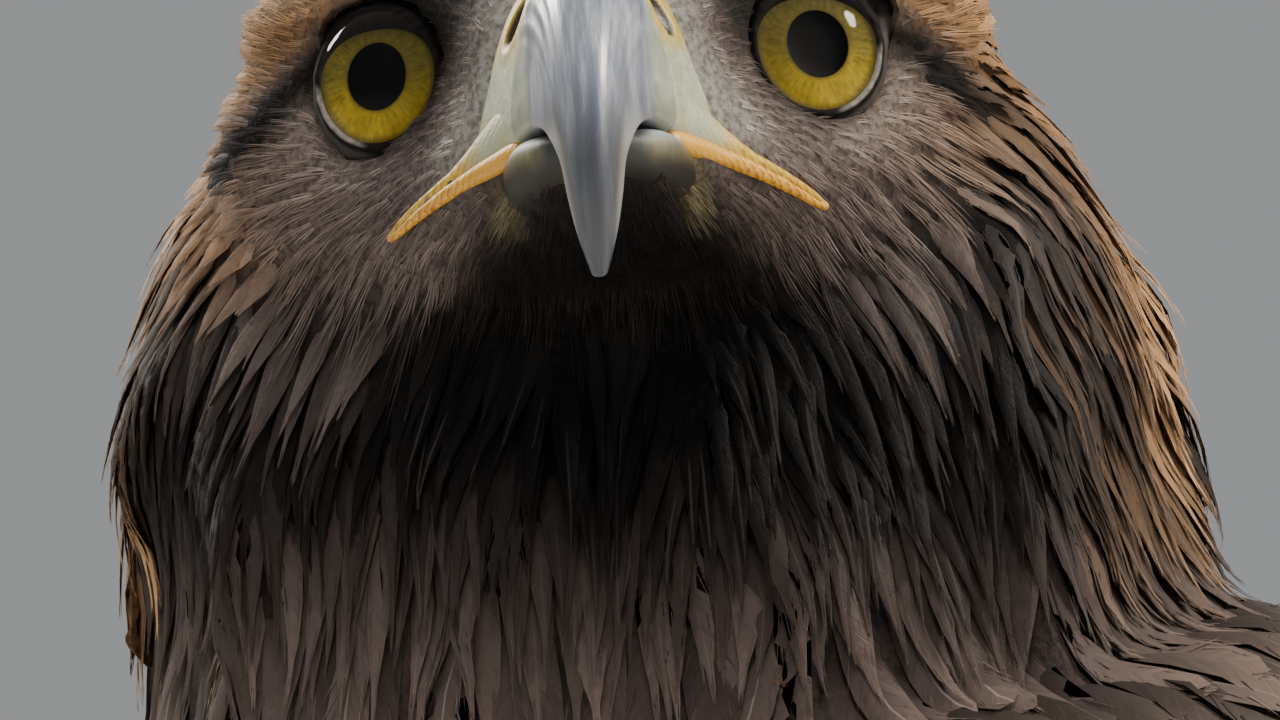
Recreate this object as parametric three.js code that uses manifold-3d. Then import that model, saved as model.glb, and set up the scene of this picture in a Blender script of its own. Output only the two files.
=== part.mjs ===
// Golden eagle standing on the floor, life size, as a still model in one named mesh for each part of its body.
// Millimetres. +Z is up, the breast faces -Y and the bird's left side is +X. The head is turned to the left.
// Flesh is lofted from a few stations, feathers are vanes laid in tiers, and neighbours keep a thin gap.
import * as THREE from 'three';
import { mergeVertices } from 'three/addons/utils/BufferGeometryUtils.js';
import Module from 'manifold-3d';

const wasm = await Module();
wasm.setup();

// Driving dimensions.
const GAP = 0.3; // kept between neighbouring parts
const EYE_HEIGHT = 600; // eyes above the floor
const HEAD_TURN = 32; // degrees to the bird's left
const HEAD_LIFT = 9; // degrees, bill up
const HEAD_ROLL = 4.2; // degrees, left eye higher
const NECK_PIVOT = [4, -46]; // x and y of the axis that the head turns about
const EYE_AHEAD = 45; // from that axis to the line between the eyes
const EYEBALL_RADIUS = 12.5;
const EYE_CENTRE = [25.4, 4.5, 0.5]; // left eyeball in the head's own frame
const EYE_OUTWARD = 28; // degrees that each eye looks out from straight ahead
const LID_OPENING = 9.3; // radius of the opening between the lids
const FOOT_X = 58;
const FOOT_Y = 62;
const ANKLE = [61, 92, 122];
const MIDDLE_Y = 144.95; // middle of the finished bird from bill to tail, before it is centred
const VANE_THICKNESS = 0.8;
const VANE_GAP = 0.5; // air between feathers that lie over one another
const VANE_OVERLAP = 0.85; // half width of a feather as a share of the space from one to the next
const MOST_OVERLAP = 1.1; // the same where feathers draw together
const TIER = 6; // height of one tier of wing feathers over the next
const LOWEST_TIER = 3; // of the primaries over the side of the body

const rad = THREE.MathUtils.degToRad;
const lerp = THREE.MathUtils.lerp;
const clamp = THREE.MathUtils.clamp;
const smoothstep = THREE.MathUtils.smoothstep;
const vec = (x, y, z) => new THREE.Vector3(x, y, z);

// A plain closed form with one vertex at each corner.
function welded(geometry) {
  geometry.deleteAttribute('normal');
  geometry.deleteAttribute('uv');
  return mergeVertices(geometry, 1e-4);
}

// A closed mesh as a manifold solid, whichever way its faces wind.
function solid(geometry) {
  const place = geometry.attributes.position;
  const [a, b, c] = [vec(), vec(), vec()];
  let volume = 0;
  const triVerts = Uint32Array.from(geometry.index.array);
  for (let i = 0; i < triVerts.length; i += 3) {
    a.fromBufferAttribute(place, triVerts[i]);
    b.fromBufferAttribute(place, triVerts[i + 1]);
    c.fromBufferAttribute(place, triVerts[i + 2]);
    volume += a.dot(b.cross(c));
  }
  if (volume < 0) {
    for (let i = 0; i < triVerts.length; i += 3) [triVerts[i], triVerts[i + 1]] = [triVerts[i + 1], triVerts[i]];
  }
  return new wasm.Manifold(new wasm.Mesh({ numProp: 3, vertProperties: Float32Array.from(place.array), triVerts }));
}

function geometryOf(shape) {
  const mesh = shape.getMesh();
  const geometry = new THREE.BufferGeometry();
  geometry.setAttribute('position', new THREE.BufferAttribute(mesh.vertProperties, 3));
  geometry.setIndex(new THREE.BufferAttribute(mesh.triVerts, 1));
  return geometry;
}

const joined = (pieces) => pieces.reduce((all, piece) => all.add(piece));
const largest = (shape) => shape.decompose().reduce((best, piece) => (piece.volume() > best.volume() ? piece : best));

// Values between rows of stations, each column on a smooth curve, for t from 0 at the first row to 1 at the last.
function between(rows, t) {
  const x = clamp(t, 0, 1) * (rows.length - 1);
  const i = Math.min(Math.floor(x), rows.length - 2);
  const f = x - i;
  const row = (k) => rows[clamp(k, 0, rows.length - 1)];
  return rows[0].map((_, c) => {
    const [p0, p1, p2, p3] = [row(i - 1)[c], row(i)[c], row(i + 1)[c], row(i + 2)[c]];
    return 0.5 * (2 * p1 + (p2 - p0) * f + (2 * p0 - 5 * p1 + 4 * p2 - p3) * f * f + (3 * p1 - p0 - 3 * p2 + p3) * f * f * f);
  });
}

// A capped cylinder with each vertex sent to place(t, angle, r): t along it, angle round it, r out from its line.
function tube(sides, rings, place) {
  const geometry = welded(new THREE.CylinderGeometry(1, 1, 1, sides, rings));
  const position = geometry.attributes.position;
  const v = vec();
  for (let i = 0; i < position.count; i++) {
    v.fromBufferAttribute(position, i);
    const to = place(0.5 - v.y, Math.atan2(v.x, v.z), Math.hypot(v.x, v.z));
    position.setXYZ(i, to.x, to.y, to.z);
  }
  return solid(geometry);
}

// A round rod along a curve, with its radius as a function of t. It grows for clearances.
function rod(points, radius, { sides, rings, flatten = 1, grow = 0 }) {
  const curve = new THREE.CatmullRomCurve3(points);
  return tube(sides, rings, (t, angle, r) => {
    const centre = curve.getPoint(t);
    const along = curve.getTangent(t);
    const side = vec(-along.y, along.x, 0);
    if (side.lengthSq() < 1e-6) side.set(1, 0, 0);
    side.normalize();
    const up = side.clone().cross(along).normalize();
    const size = (radius(t) + grow) * r;
    centre.addScaledVector(along, grow * (t < 0.001 ? -1 : t > 0.999 ? 1 : 0));
    return centre.addScaledVector(side, size * Math.sin(angle)).addScaledVector(up, size * flatten * Math.cos(angle));
  });
}

function ball(centre, radii, across = 20, down = 12) {
  const geometry = welded(new THREE.SphereGeometry(1, across, down));
  geometry.scale(...radii);
  geometry.translate(...centre);
  return solid(geometry);
}

// A closed slab between two surfaces over a grid, split into triangles alike on both faces.
function slab(columns, rows, top, bottom) {
  const points = [];
  const faces = [];
  const wide = columns + 1;
  const at = (level, j, i) => level * wide * (rows + 1) + j * wide + i;
  for (const surface of [top, bottom]) {
    for (let j = 0; j <= rows; j++) {
      for (let i = 0; i <= columns; i++) points.push(...surface(i / columns, j / rows).toArray());
    }
  }
  const quad = (a, b, c, d) => faces.push(a, b, c, a, c, d);
  for (let j = 0; j < rows; j++) {
    for (let i = 0; i < columns; i++) {
      const [p, q, r, s] = [at(0, j, i), at(0, j, i + 1), at(0, j + 1, i + 1), at(0, j + 1, i)];
      const [P, Q, R, S] = [at(1, j, i), at(1, j, i + 1), at(1, j + 1, i + 1), at(1, j + 1, i)];
      faces.push(p, q, r, p, r, s, P, R, Q, P, S, R);
    }
  }
  for (let j = 0; j < rows; j++) {
    quad(at(0, j, 0), at(0, j + 1, 0), at(1, j + 1, 0), at(1, j, 0));
    quad(at(0, j, columns), at(1, j, columns), at(1, j + 1, columns), at(0, j + 1, columns));
  }
  for (let i = 0; i < columns; i++) {
    quad(at(0, 0, i), at(1, 0, i), at(1, 0, i + 1), at(0, 0, i + 1));
    quad(at(0, rows, i), at(0, rows, i + 1), at(1, rows, i + 1), at(1, rows, i));
  }
  const geometry = new THREE.BufferGeometry();
  geometry.setAttribute('position', new THREE.Float32BufferAttribute(points, 3));
  geometry.setIndex(faces);
  return solid(geometry);
}

// A feather's widths at steps along it, as shares of its full width: broad with a round tip, and narrow with a point.
const BROAD = [[0, 0.6], [0.25, 0.86], [0.52, 1], [0.86, 0.92], [1, 0.3]];
const BROAD_TAIL = [[0, 0.36], [0.5, 1], [0.9, 0.94], [1, 0.4]];
const SHORT = [[0, 0.7], [0.45, 1], [0.82, 0.84], [1, 0.26]];
const POINTED = [[0, 0.8], [0.5, 1], [1, 0.12]];

// A vane on a surface. path(t) gives the surface's own coordinates u, v and the height h of the shaft.
// place(u, v, h) is a point over the surface, and across(u) turns millimetres into v. tilt lifts one edge over the other.
function vane({ place, path, across, halfWidth, tilt = () => 0, shape }) {
  const point = (i, j, face) => {
    const [t, share] = shape[Math.round(j * (shape.length - 1))];
    const [u, v, h] = path(t);
    const side = (2 * i - 1) * share;
    return place(u, v + (side * halfWidth(t)) / across(u, v), h + tilt(t) * side + (face * VANE_THICKNESS) / 2);
  };
  return slab(1, shape.length - 1, (i, j) => point(i, j, 1), (i, j) => point(i, j, -1));
}

// Trunk. Each station of the neck and body has x, y, z, turn and slope in degrees, half width, then reach to front and back.
const TRUNK = [
  [12, -50, 616, 30, -20, 35, 16, 23],
  [11, -44, 595, 29, -15, 59, 33, 43],
  [8, -39, 570, 24, -8, 74, 50, 57],
  [5, -34, 540, 14, 0, 79.5, 66, 63],
  [3.5, -36, 506, 5, 12, 85.5, 68, 65],
  [0, -22, 462, 0, 20, 98, 72, 78],
  [0, 10, 402, 0, 27, 104, 79, 85],
  [0, 50, 338, 0, 33, 103, 78, 82],
  [0, 98, 276, 0, 39, 90, 78, 70],
  [0, 130, 238, 0, 44, 66, 56, 53],
  [0, 156, 207, 0, 50, 44, 34, 34],
  [0, 176, 187, 0, 55, 27, 18, 18],
];
const TRUNK_FULLNESS = 0.94; // under 1 squares the sections off a little

function trunkPoint(t, angle, r, grow) {
  const [x, y, z, turn, slope, width, front, back] = between(TRUNK, t);
  const round = (value) => Math.sign(value) * Math.abs(value) ** TRUNK_FULLNESS;
  const side = round(Math.sin(angle)) * (width + grow) * r;
  const ahead = round(Math.cos(angle)) * ((Math.cos(angle) > 0 ? front : back) + grow) * r;
  const lean = rad(slope);
  const end = t < 0.001 ? grow : t > 0.999 ? -grow : 0;
  const offset = vec(side, -ahead * Math.cos(lean) - end * Math.sin(lean), -ahead * Math.sin(lean) + end * Math.cos(lean));
  return offset.applyAxisAngle(vec(0, 0, 1), rad(turn)).add(vec(x, y, z));
}
const trunk = (grow = 0) => tube(22, 18, (t, angle, r) => trunkPoint(t, angle, r, grow));

// A point at height h over the trunk, for feathers: t along it, angle round it in radians.
function overTrunk(t, angle, h) {
  const step = 0.01;
  const along = trunkPoint(t + step, angle, 1, 0).sub(trunkPoint(t - step, angle, 1, 0));
  const round = trunkPoint(t, angle + step, 1, 0).sub(trunkPoint(t, angle - step, 1, 0));
  return trunkPoint(t, angle, 1, 0).addScaledVector(along.cross(round).normalize(), h);
}

// Head, in its own frame: x to the bird's left, y to the back, z up from the line between the eyes.
const EYE_LINE = vec(
  NECK_PIVOT[0] + EYE_AHEAD * Math.sin(rad(HEAD_TURN)),
  NECK_PIVOT[1] - EYE_AHEAD * Math.cos(rad(HEAD_TURN)),
  EYE_HEIGHT,
);
function headToWorld(v) {
  return v.applyAxisAngle(vec(1, 0, 0), -rad(HEAD_LIFT))
    .applyAxisAngle(vec(0, 1, 0), -rad(HEAD_ROLL))
    .applyAxisAngle(vec(0, 0, 1), rad(HEAD_TURN))
    .add(EYE_LINE);
}
const headPoint = (x, y, z) => headToWorld(vec(x, y, z));

// Stations of the head from the bill's root to the nape: y, half width, top, bottom, depth of the eye's hollow, brow.
const HEAD = [
  [-36, 12.6, 10.4, -28.6, 0, 0],
  [-28, 15.6, 11.6, -29.4, 0, 0],
  [-21, 20.2, 14.6, -30.4, 0.05, 1],
  [-13, 27.6, 20, -31.6, 0.24, 2.4],
  [-4, 36.5, 25, -33.5, 0.25, 3.4],
  [5, 44.5, 28.5, -34, 0.06, 3],
  [15, 52, 31, -36, 0, 1.8],
  [27, 56.5, 32, -38, 0, 0.6],
  [39, 56, 30, -38, 0, 0],
  [51, 48, 24, -34, 0, 0],
  [61, 33, 13, -25, 0, 0],
  [67, 15, 1, -13, 0, 0],
];
const CHEEK_DROP = 7; // how far below the eyes the head is widest
const HOLLOW_HEIGHT = 11;
const BROW_HEIGHT = 13.5;

function headSurface(t, angle, r, grow = 0) {
  const [y, width, top, bottom, hollow, ridge] = between(HEAD, t);
  const middle = -CHEEK_DROP;
  const rise = Math.cos(angle) > 0 ? top - middle : middle - bottom;
  const z = middle + Math.cos(angle) * (rise + grow) * r;
  const dip = 1 - hollow * Math.exp(-((z / HOLLOW_HEIGHT) ** 2));
  const shelf = ridge * Math.exp(-(((z - BROW_HEIGHT) / 6) ** 2));
  const square = Math.sign(Math.sin(angle)) * Math.abs(Math.sin(angle)) ** 0.86;
  const end = t < 0.001 ? -grow : t > 0.999 ? grow : 0;
  return headPoint(square * ((width + grow) * dip + shelf) * r, y + end, z);
}
const headBlob = (grow = 0) => tube(26, 15, (t, angle, r) => headSurface(t, angle, r, grow));

// Direction in which an eye looks, and a ball or ring set on it.
function eyeFrame(side) {
  const look = vec(side * Math.sin(rad(EYE_OUTWARD)), -Math.cos(rad(EYE_OUTWARD)), 0);
  const centre = vec(side * EYE_CENTRE[0], EYE_CENTRE[1], EYE_CENTRE[2]);
  return { look, centre };
}
function eyeball(side, radius, across = 13) {
  const { centre } = eyeFrame(side);
  return ball(headPoint(centre.x, centre.y, centre.z).toArray(), [radius, radius, radius], across, Math.round(across * 0.6));
}
// A lid is a ring round the opening, thicker where the real one folds.
function lids(side) {
  const { look, centre } = eyeFrame(side);
  const out = Math.sqrt(EYEBALL_RADIUS ** 2 - LID_OPENING ** 2);
  const across = vec(-look.y, look.x, 0);
  const geometry = welded(new THREE.TorusGeometry(1, 0.2, 4, 16));
  const position = geometry.attributes.position;
  const v = vec();
  for (let i = 0; i < position.count; i++) {
    v.fromBufferAttribute(position, i);
    const to = centre.clone()
      .addScaledVector(look, out - 0.4 + v.z * 8)
      .addScaledVector(across, v.x * (LID_OPENING + 1.4) * 0.97)
      .addScaledVector(vec(0, 0, 1), v.y * (LID_OPENING + 1.4) * 0.95);
    headToWorld(to);
    position.setXYZ(i, to.x, to.y, to.z);
  }
  return solid(geometry);
}
// Feathers end at a slanting plane round the root of the bill: y and z on the forehead, then on the chin.
const FACE_EDGE = [[-25, 12], [-21, -30]];
function face() {
  const [[topY, topZ], [lowY, lowZ]] = FACE_EDGE;
  const box = welded(new THREE.BoxGeometry(120, 80, 120));
  box.translate(0, -40, 0);
  const position = box.attributes.position;
  for (let i = 0; i < position.count; i++) {
    const z = position.getZ(i);
    const lean = lerp(lowY, topY, (z - lowZ) / (topZ - lowZ));
    const to = headPoint(position.getX(i), position.getY(i) + lean, z);
    position.setXYZ(i, to.x, to.y, to.z);
  }
  return solid(box);
}
function head() {
  let shape = headBlob().subtract(face());
  for (const side of [1, -1]) shape = shape.add(lids(side)).subtract(eyeball(side, EYEBALL_RADIUS + GAP));
  return shape;
}

// Bill stations: ridge y and z, cutting edge y and z, half width at the edge, and how round the top is.
const HORN = [
  [-33.5, 8.9, -33.5, -15.8, 12.9],
  [-40, 7.6, -36.5, -15.2, 11.2],
  [-46.6, 4, -39.5, -15.4, 9.4],
  [-52, -2.2, -42.2, -16.6, 7.8],
  [-55.6, -10, -44.2, -18.8, 6.4],
  [-57, -18, -45.8, -22, 5.1],
  [-56.8, -25.4, -47.6, -26.6, 3.8],
  [-55.2, -32, -49.6, -32, 2.4],
  [-52.6, -37.8, -51.4, -37.2, 0.9],
];
const CERE = [
  [-20, 10.6, -20, -19, 20.5],
  [-24, 10.4, -24, -17.8, 18],
  [-28.5, 10, -28.5, -16.6, 15.6],
  [-33.2, 9.2, -33.2, -15.8, 13.2],
];
// The lower bill hangs the other way up: its keel below, then its cutting edge above.
const MANDIBLE = [
  [-12, -28, -12, -20.4, 17.5],
  [-20, -27.8, -20, -19, 15.8],
  [-28, -27.2, -28, -17.6, 14],
  [-34.5, -26.6, -34.5, -16.6, 12.2],
  [-39.5, -24.4, -39.5, -16.2, 9.6],
  [-42.6, -21, -42.6, -16.6, 5.5],
];

// An arch between a ridge and an edge line, for the bill and cere. narrowing is how much slimmer it is at the ridge
// than at the edge, and it grows for clearances.
function billShape(rows, sides, rings, { grow = 0, roundness = 0.62, narrowing = 0.2 }) {
  return tube(sides, rings, (t, angle, r) => {
    const [ky, kz, my, mz, width] = between(rows, t);
    const high = 0.5 + 0.5 * Math.cos(angle);
    const corner = Math.cos(angle) < 0 ? 0.15 : roundness;
    const arch = Math.sign(Math.sin(angle)) * Math.abs(Math.sin(angle)) ** corner;
    const lean = 1 - narrowing * high;
    const along = vec(0, ky - my, kz - mz);
    const reach = along.length() || 1;
    const s = 0.5 + (high - 0.5) * r * (1 + (2 * grow) / reach);
    const end = t < 0.001 ? grow : t > 0.999 ? -grow : 0;
    return headPoint(arch * (width + grow) * lean * r, lerp(my, ky, s) + end, lerp(mz, kz, s));
  });
}

// The yellow edges of the gape run from the bill back to below the eyes.
function gapeLip(side, drop, grow = 0) {
  const points = [[11.5, -31, -15.6], [16.4, -24.5, -16.8], [22.2, -17, -18.2], [27.4, -9.5, -19.8], [29.4, -3.5, -21]];
  const curve = points.map(([x, y, z]) => headPoint(side * x, y, z - drop));
  return rod(curve, (t) => 0.9 + 1.2 * Math.sin(Math.PI * Math.min(0.86, 0.1 + t)), { sides: 5, rings: 4, grow });
}
function nostril(side) {
  const at = headPoint(side * 10, -29.6, 0.8);
  return ball(at.toArray(), [2, 2, 3], 10, 6);
}

// Folded wing. A surface that hugs the side of the body from the shoulder to the wing's tip.
// Stations: y, z, slope, lateral and dorsal radius, then the angles of its upper and lower edges from the back.
const WING = [
  [-40, 508, 12, 85, 62, 50, 146],
  [-22, 462, 20, 96, 76, 31, 145],
  [10, 402, 27, 102, 83, 19, 138],
  [50, 338, 33, 101, 80, 12, 127],
  [98, 276, 39, 90, 68, 9, 116],
  [158, 218, 46, 71, 51, 10, 107],
  [232, 163, 51, 52, 36, 20, 102],
  [300, 118, 54, 40, 27, 32, 99],
  [356, 80, 55, 30, 21, 46, 97],
];
const WING_RAISE = { l: 10, r: -10 }; // the left shoulder is held a little higher

function wingSurface(side) {
  const raise = side > 0 ? WING_RAISE.l : WING_RAISE.r;
  const bare = (a, b) => {
    const [y, z, slope, width, depth, from, to] = between(WING, a);
    const angle = rad(lerp(from, to, b));
    const up = Math.cos(angle) * depth;
    const lift = raise * (1 - smoothstep(a, 0, 0.45));
    return vec(side * Math.sin(angle) * width, y + up * Math.cos(rad(slope)), z + up * Math.sin(rad(slope)) + lift);
  };
  const place = (a, b, h) => {
    const step = 0.004;
    const along = bare(a + step, b).sub(bare(a - step, b));
    const round = bare(a, b + step).sub(bare(a, b - step));
    return bare(a, b).addScaledVector(round.cross(along).normalize(), side * h);
  };
  const across = (a) => {
    const [, , , width, depth, from, to] = between(WING, a);
    return rad(to - from) * (width * 0.6 + depth * 0.4);
  };
  return { place, across };
}

// A patch of the wing surface between two heights, with its edges rounded down.
// edgeRound and frontRound are the shares of the patch over which its edges fall away.
function wingPatch(side, { from, to, upper = 0, lower = 1, low, high, columns, rows, edgeRound = 0, frontRound = 0 }) {
  const { place } = wingSurface(side);
  const top = (i, j) => {
    const edge = edgeRound ? Math.min(Math.min(i, 1 - i) / edgeRound, 1) : 1;
    const front = frontRound ? Math.min(j / frontRound, 1) : 1;
    const round = Math.sqrt((1 - (1 - edge) ** 2) * (1 - (1 - front) ** 2));
    return place(lerp(from, to, j), lerp(upper, lower, i), lerp(low + 1, high(i, j), round));
  };
  return slab(columns, rows, top, (i, j) => place(lerp(from, to, j), lerp(upper, lower, i), low));
}

const BED_DEPTH = 2.6;
// The room that a wing needs beside the body, cut from what lies under it.
function wingBed(side) {
  const { place } = wingSurface(side);
  const at = (i, j, h) => place(j, lerp(-0.04, 1.04, i), h);
  return slab(6, 12, (i, j) => at(i, j, 45), (i, j) => at(i, j, -BED_DEPTH));
}

// A tier of feathers side by side on the wing. Each lies over the one below it, so that its lower edge shows.
function wingTier(side, { count, roots, tips, rootAcross, tipAcross, sunk, height, shape }) {
  const { place, across } = wingSurface(side);
  const feathers = [];
  for (let k = 0; k < count; k++) {
    const s = k / (count - 1);
    const a = (t) => lerp(roots(s), tips(s), t);
    const b = (t) => lerp(lerp(...rootAcross, s), lerp(...tipAcross, s), t);
    const spacing = (t) => (lerp(rootAcross[1] - rootAcross[0], tipAcross[1] - tipAcross[0], t) / (count - 1)) * across(a(t));
    const halfWidth = (t) => Math.min(VANE_OVERLAP * spacing(0.45), MOST_OVERLAP * spacing(t));
    feathers.push(vane({
      place,
      across,
      halfWidth,
      shape,
      path: (t) => [a(t), b(t), lerp(sunk, height, smoothstep(t, 0, 0.35))],
      tilt: (t) => ((VANE_THICKNESS + VANE_GAP) * halfWidth(t)) / spacing(t) + halfWidth(t) ** 2 / 190,
    }));
  }
  return feathers;
}

const WING_FRONT = 0.004; // where the wing starts, along its surface
const CORE_END = 0.42; // where the small feathers' flesh ends and the flight feathers' roots start
const COVERT_TIER = LOWEST_TIER + 2 * TIER + 0.6;
const COVERT_STEP = 5.8; // height of one tier of coverts over the next
const ROOT_COVER = 1.7; // flesh over the roots of a tier
// Greater, median and lesser coverts. Each tier comes out of the back of its own step of the wing's flesh.
const COVERTS = [
  { end: CORE_END, count: 7, tips: (s) => lerp(0.64, 0.54, s), rootAcross: [0.12, 0.9], tipAcross: [0.12, 0.92] },
  { end: 0.28, count: 6, tips: (s) => lerp(0.47, 0.43, s), rootAcross: [0.22, 0.88], tipAcross: [0.22, 0.9] },
  { end: 0.16, count: 6, tips: (s) => lerp(0.32, 0.29, s), rootAcross: [0.22, 0.86], tipAcross: [0.24, 0.88] },
];
function wingCoverts(side) {
  const pieces = COVERTS.flatMap(({ end, count, tips, rootAcross, tipAcross }, n) => {
    const height = COVERT_TIER + n * COVERT_STEP;
    const step = wingPatch(side, { from: WING_FRONT + 0.012 * n, to: end, upper: 0.05 * n, lower: 1 - 0.02 * n,
      low: n ? height - 9 : 1, high: () => height + ROOT_COVER, columns: 5, rows: 3, edgeRound: 0.2, frontRound: 0.6 });
    return [step, ...wingTier(side, { count, roots: () => end - 0.02, tips, rootAcross, tipAcross, sunk: height, height,
      shape: SHORT })];
  });
  return joined([...pieces, ...scapulars(side)]);
}
// Scapulars run along the upper edge of the wing, each over the next one behind.
const SCAPULARS = 3;
function scapulars(side) {
  const { place, across } = wingSurface(side);
  return Array.from({ length: SCAPULARS }, (_, k) => vane({
    place,
    across,
    halfWidth: () => 10,
    shape: SHORT,
    path: (t) => [0.1 + 0.1 * k + 0.2 * t, lerp(0.12, 0.08, t), lerp(8, COVERT_TIER + COVERT_STEP, smoothstep(t, 0, 0.7))],
  }));
}
function secondaries(side) {
  const height = LOWEST_TIER + TIER;
  const plate = wingPatch(side, { from: CORE_END + 0.0012, to: 0.48, upper: 0.05, lower: 0.96, low: height - 2,
    high: () => height + 2, columns: 7, rows: 1 });
  const tier = { count: 8, roots: () => 0.43, tips: (s) => lerp(0.84, 0.64, s ** 1.3), rootAcross: [0.13, 0.88],
    tipAcross: [0.17, 0.9], sunk: height, height, shape: BROAD };
  return joined([plate, ...wingTier(side, tier)]);
}
function primaries(side) {
  const plate = wingPatch(side, { from: CORE_END + 0.0012, to: 0.48, upper: 0.32, lower: 0.98, low: LOWEST_TIER - 2,
    high: () => LOWEST_TIER + 2, columns: 6, rows: 1 });
  const tier = { count: 7, roots: () => 0.43, tips: (s) => lerp(0.88, 1, Math.sin(s * 2)), rootAcross: [0.4, 0.92],
    tipAcross: [0.14, 0.84], sunk: LOWEST_TIER, height: LOWEST_TIER, shape: BROAD };
  return joined([plate, ...wingTier(side, tier)]);
}

// Tail, a closed fan on a plane that slopes to the floor: u along it, v across in millimetres, h over it.
const TAIL_ROOT = [158, 197];
const TAIL_LENGTH = 318;
const TAIL_SLOPE = 33.5;
const TAIL_FEATHERS = 12;
function overTail(u, v, h) {
  const slope = rad(TAIL_SLOPE);
  const along = u * TAIL_LENGTH;
  const arch = -(v * v) / 420;
  const up = h + arch;
  return vec(v, TAIL_ROOT[0] + along * Math.cos(slope) + up * Math.sin(slope),
    TAIL_ROOT[1] - along * Math.sin(slope) + up * Math.cos(slope));
}
function tail() {
  const pieces = [tube(14, 4, (t, angle, r) =>
    overTail(lerp(0.02, 0.2, t), Math.sin(angle) * lerp(25, 31, t) * r, Math.cos(angle) * r * lerp(15, 13, t) - 6))];
  const perSide = TAIL_FEATHERS / 2;
  for (const side of [1, -1]) {
    for (let k = 0; k < perSide; k++) {
      const level = -(VANE_THICKNESS + 0.4) * (2 * k + (side > 0 ? 0 : 1));
      const offset = (t) => side * lerp(2 + k * 1.2, 5 + k * 9.2, t);
      pieces.push(vane({
        place: overTail,
        across: () => 1,
        halfWidth: () => 22,
        shape: BROAD_TAIL,
        path: (t) => [lerp(0.1, 1 - 0.008 * k * k * 0.6, t), offset(t), level + 3],
      }));
    }
  }
  for (const [count, spread, length, height, from] of [[3, 17, 0.3, 10, 0.13], [2, 12, 0.34, -21, 0.1]]) {
    for (let k = 0; k < count; k++) {
      const s = (2 * k) / (count - 1) - 1;
      pieces.push(vane({
        place: overTail,
        across: () => 1,
        halfWidth: () => 12.5,
        shape: SHORT,
        path: (t) => [from + t * length * (1 - 0.16 * s * s), s * spread * lerp(0.7, 1.15, t),
          lerp(0, height, smoothstep(t, 0, 0.3)) + (k % 2) * 1.7],
      }));
    }
  }
  return joined(pieces);
}

// Hackles: pointed vanes in rows round the neck. Each row starts along the trunk at its first number and has so many
// vanes. They lie down over the shoulders from inside the neck's flesh.
const HACKLE_ROWS = [[0.11, 7], [0.165, 9], [0.215, 11]];
const HACKLE_LENGTH = 0.12; // as a share of the trunk
const NECK_END = 0.318; // where the neck meets the torso, along the trunk
function hackles() {
  return HACKLE_ROWS.flatMap(([row, count], n) => Array.from({ length: count }, (_, k) => {
    const angle = ((k + (n % 2) / 2) / count) * 2 * Math.PI;
    const length = HACKLE_LENGTH * (1 + 0.12 * Math.sin(k * 5.1 + n * 2.3));
    return vane({
      place: overTrunk,
      across: () => 76,
      halfWidth: () => 10,
      shape: POINTED,
      path: (t) => [row + t * length, angle, lerp(-5, 5, Math.sqrt(t))],
    });
  }));
}

// A thin slab across the trunk at NECK_END, and the half spaces on its two sides.
function trunkCut(reach) {
  const [x, y, z, , slope] = between(TRUNK, NECK_END);
  const box = welded(new THREE.BoxGeometry(600, 600, 400));
  box.translate(0, 0, reach > 0 ? 200 + GAP / 2 : -200 - GAP / 2);
  box.rotateX(rad(slope));
  box.translate(x, y, z);
  return solid(box);
}

// Legs. Trousers of feathers, feathered shank, bare toes with flats under their pads, and black claws.
const TROUSER = [
  [50, 52, 300, 40, 54],
  [54, 50, 262, 46, 62],
  [58, 56, 222, 44, 58],
  [60, 64, 180, 38, 50],
  [61, 72, 140, 32, 40],
  [61, 78, 104, 27, 31],
  [61, 80, 76, 20, 22],
];
function trouser(side, grow = 0) {
  return tube(14, 8, (t, angle, r) => {
    const [x, y, z, width, depth] = between(TROUSER, t);
    const end = t < 0.001 ? grow : t > 0.999 ? -grow : 0;
    return vec(side * (x + Math.sin(angle) * (width + grow) * r), y + Math.cos(angle) * (depth + grow) * r, z + end);
  });
}
// Locks of long feathers that hang round the trouser and past its hem, each from so far down it.
const LOCKS = 5;
function trouserLocks(side) {
  return Array.from({ length: LOCKS }, (_, k) => {
    const turn = (k / LOCKS) * 2 * Math.PI + 0.4;
    const start = k % 2 ? 0.62 : 0.7;
    return vane({
      place: (t, around, h) => {
        const [x, y, z, width, depth] = between(TROUSER, t);
        return vec(side * (x + Math.sin(around) * (width + h)), y + Math.cos(around) * (depth + h), z);
      },
      across: () => 26,
      halfWidth: () => 9,
      shape: POINTED,
      path: (t) => [start + t * 0.27, turn, lerp(-5, 4, Math.sqrt(t))],
    });
  });
}

const SHANK = [
  [ANKLE[0], ANKLE[1] - 8, ANKLE[2] - 10, 16],
  [ANKLE[0], ANKLE[1] - 12, 88, 17],
  [FOOT_X + 2, FOOT_Y + 11, 64, 16.5],
  [FOOT_X + 1, FOOT_Y + 5, 43, 15.5],
  [FOOT_X, FOOT_Y + 1, 28, 14],
  [FOOT_X, FOOT_Y, 19, 10],
];
function shank(side, grow = 0) {
  return tube(12, 8, (t, angle, r) => {
    const [x, y, z, width] = between(SHANK, t);
    const end = t < 0.001 ? grow : t > 0.999 ? -grow : 0;
    const size = (width + grow) * r;
    return vec(side * (x + Math.sin(angle) * size * 0.92), y + Math.cos(angle) * size * 1.08, z + end);
  });
}

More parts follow.
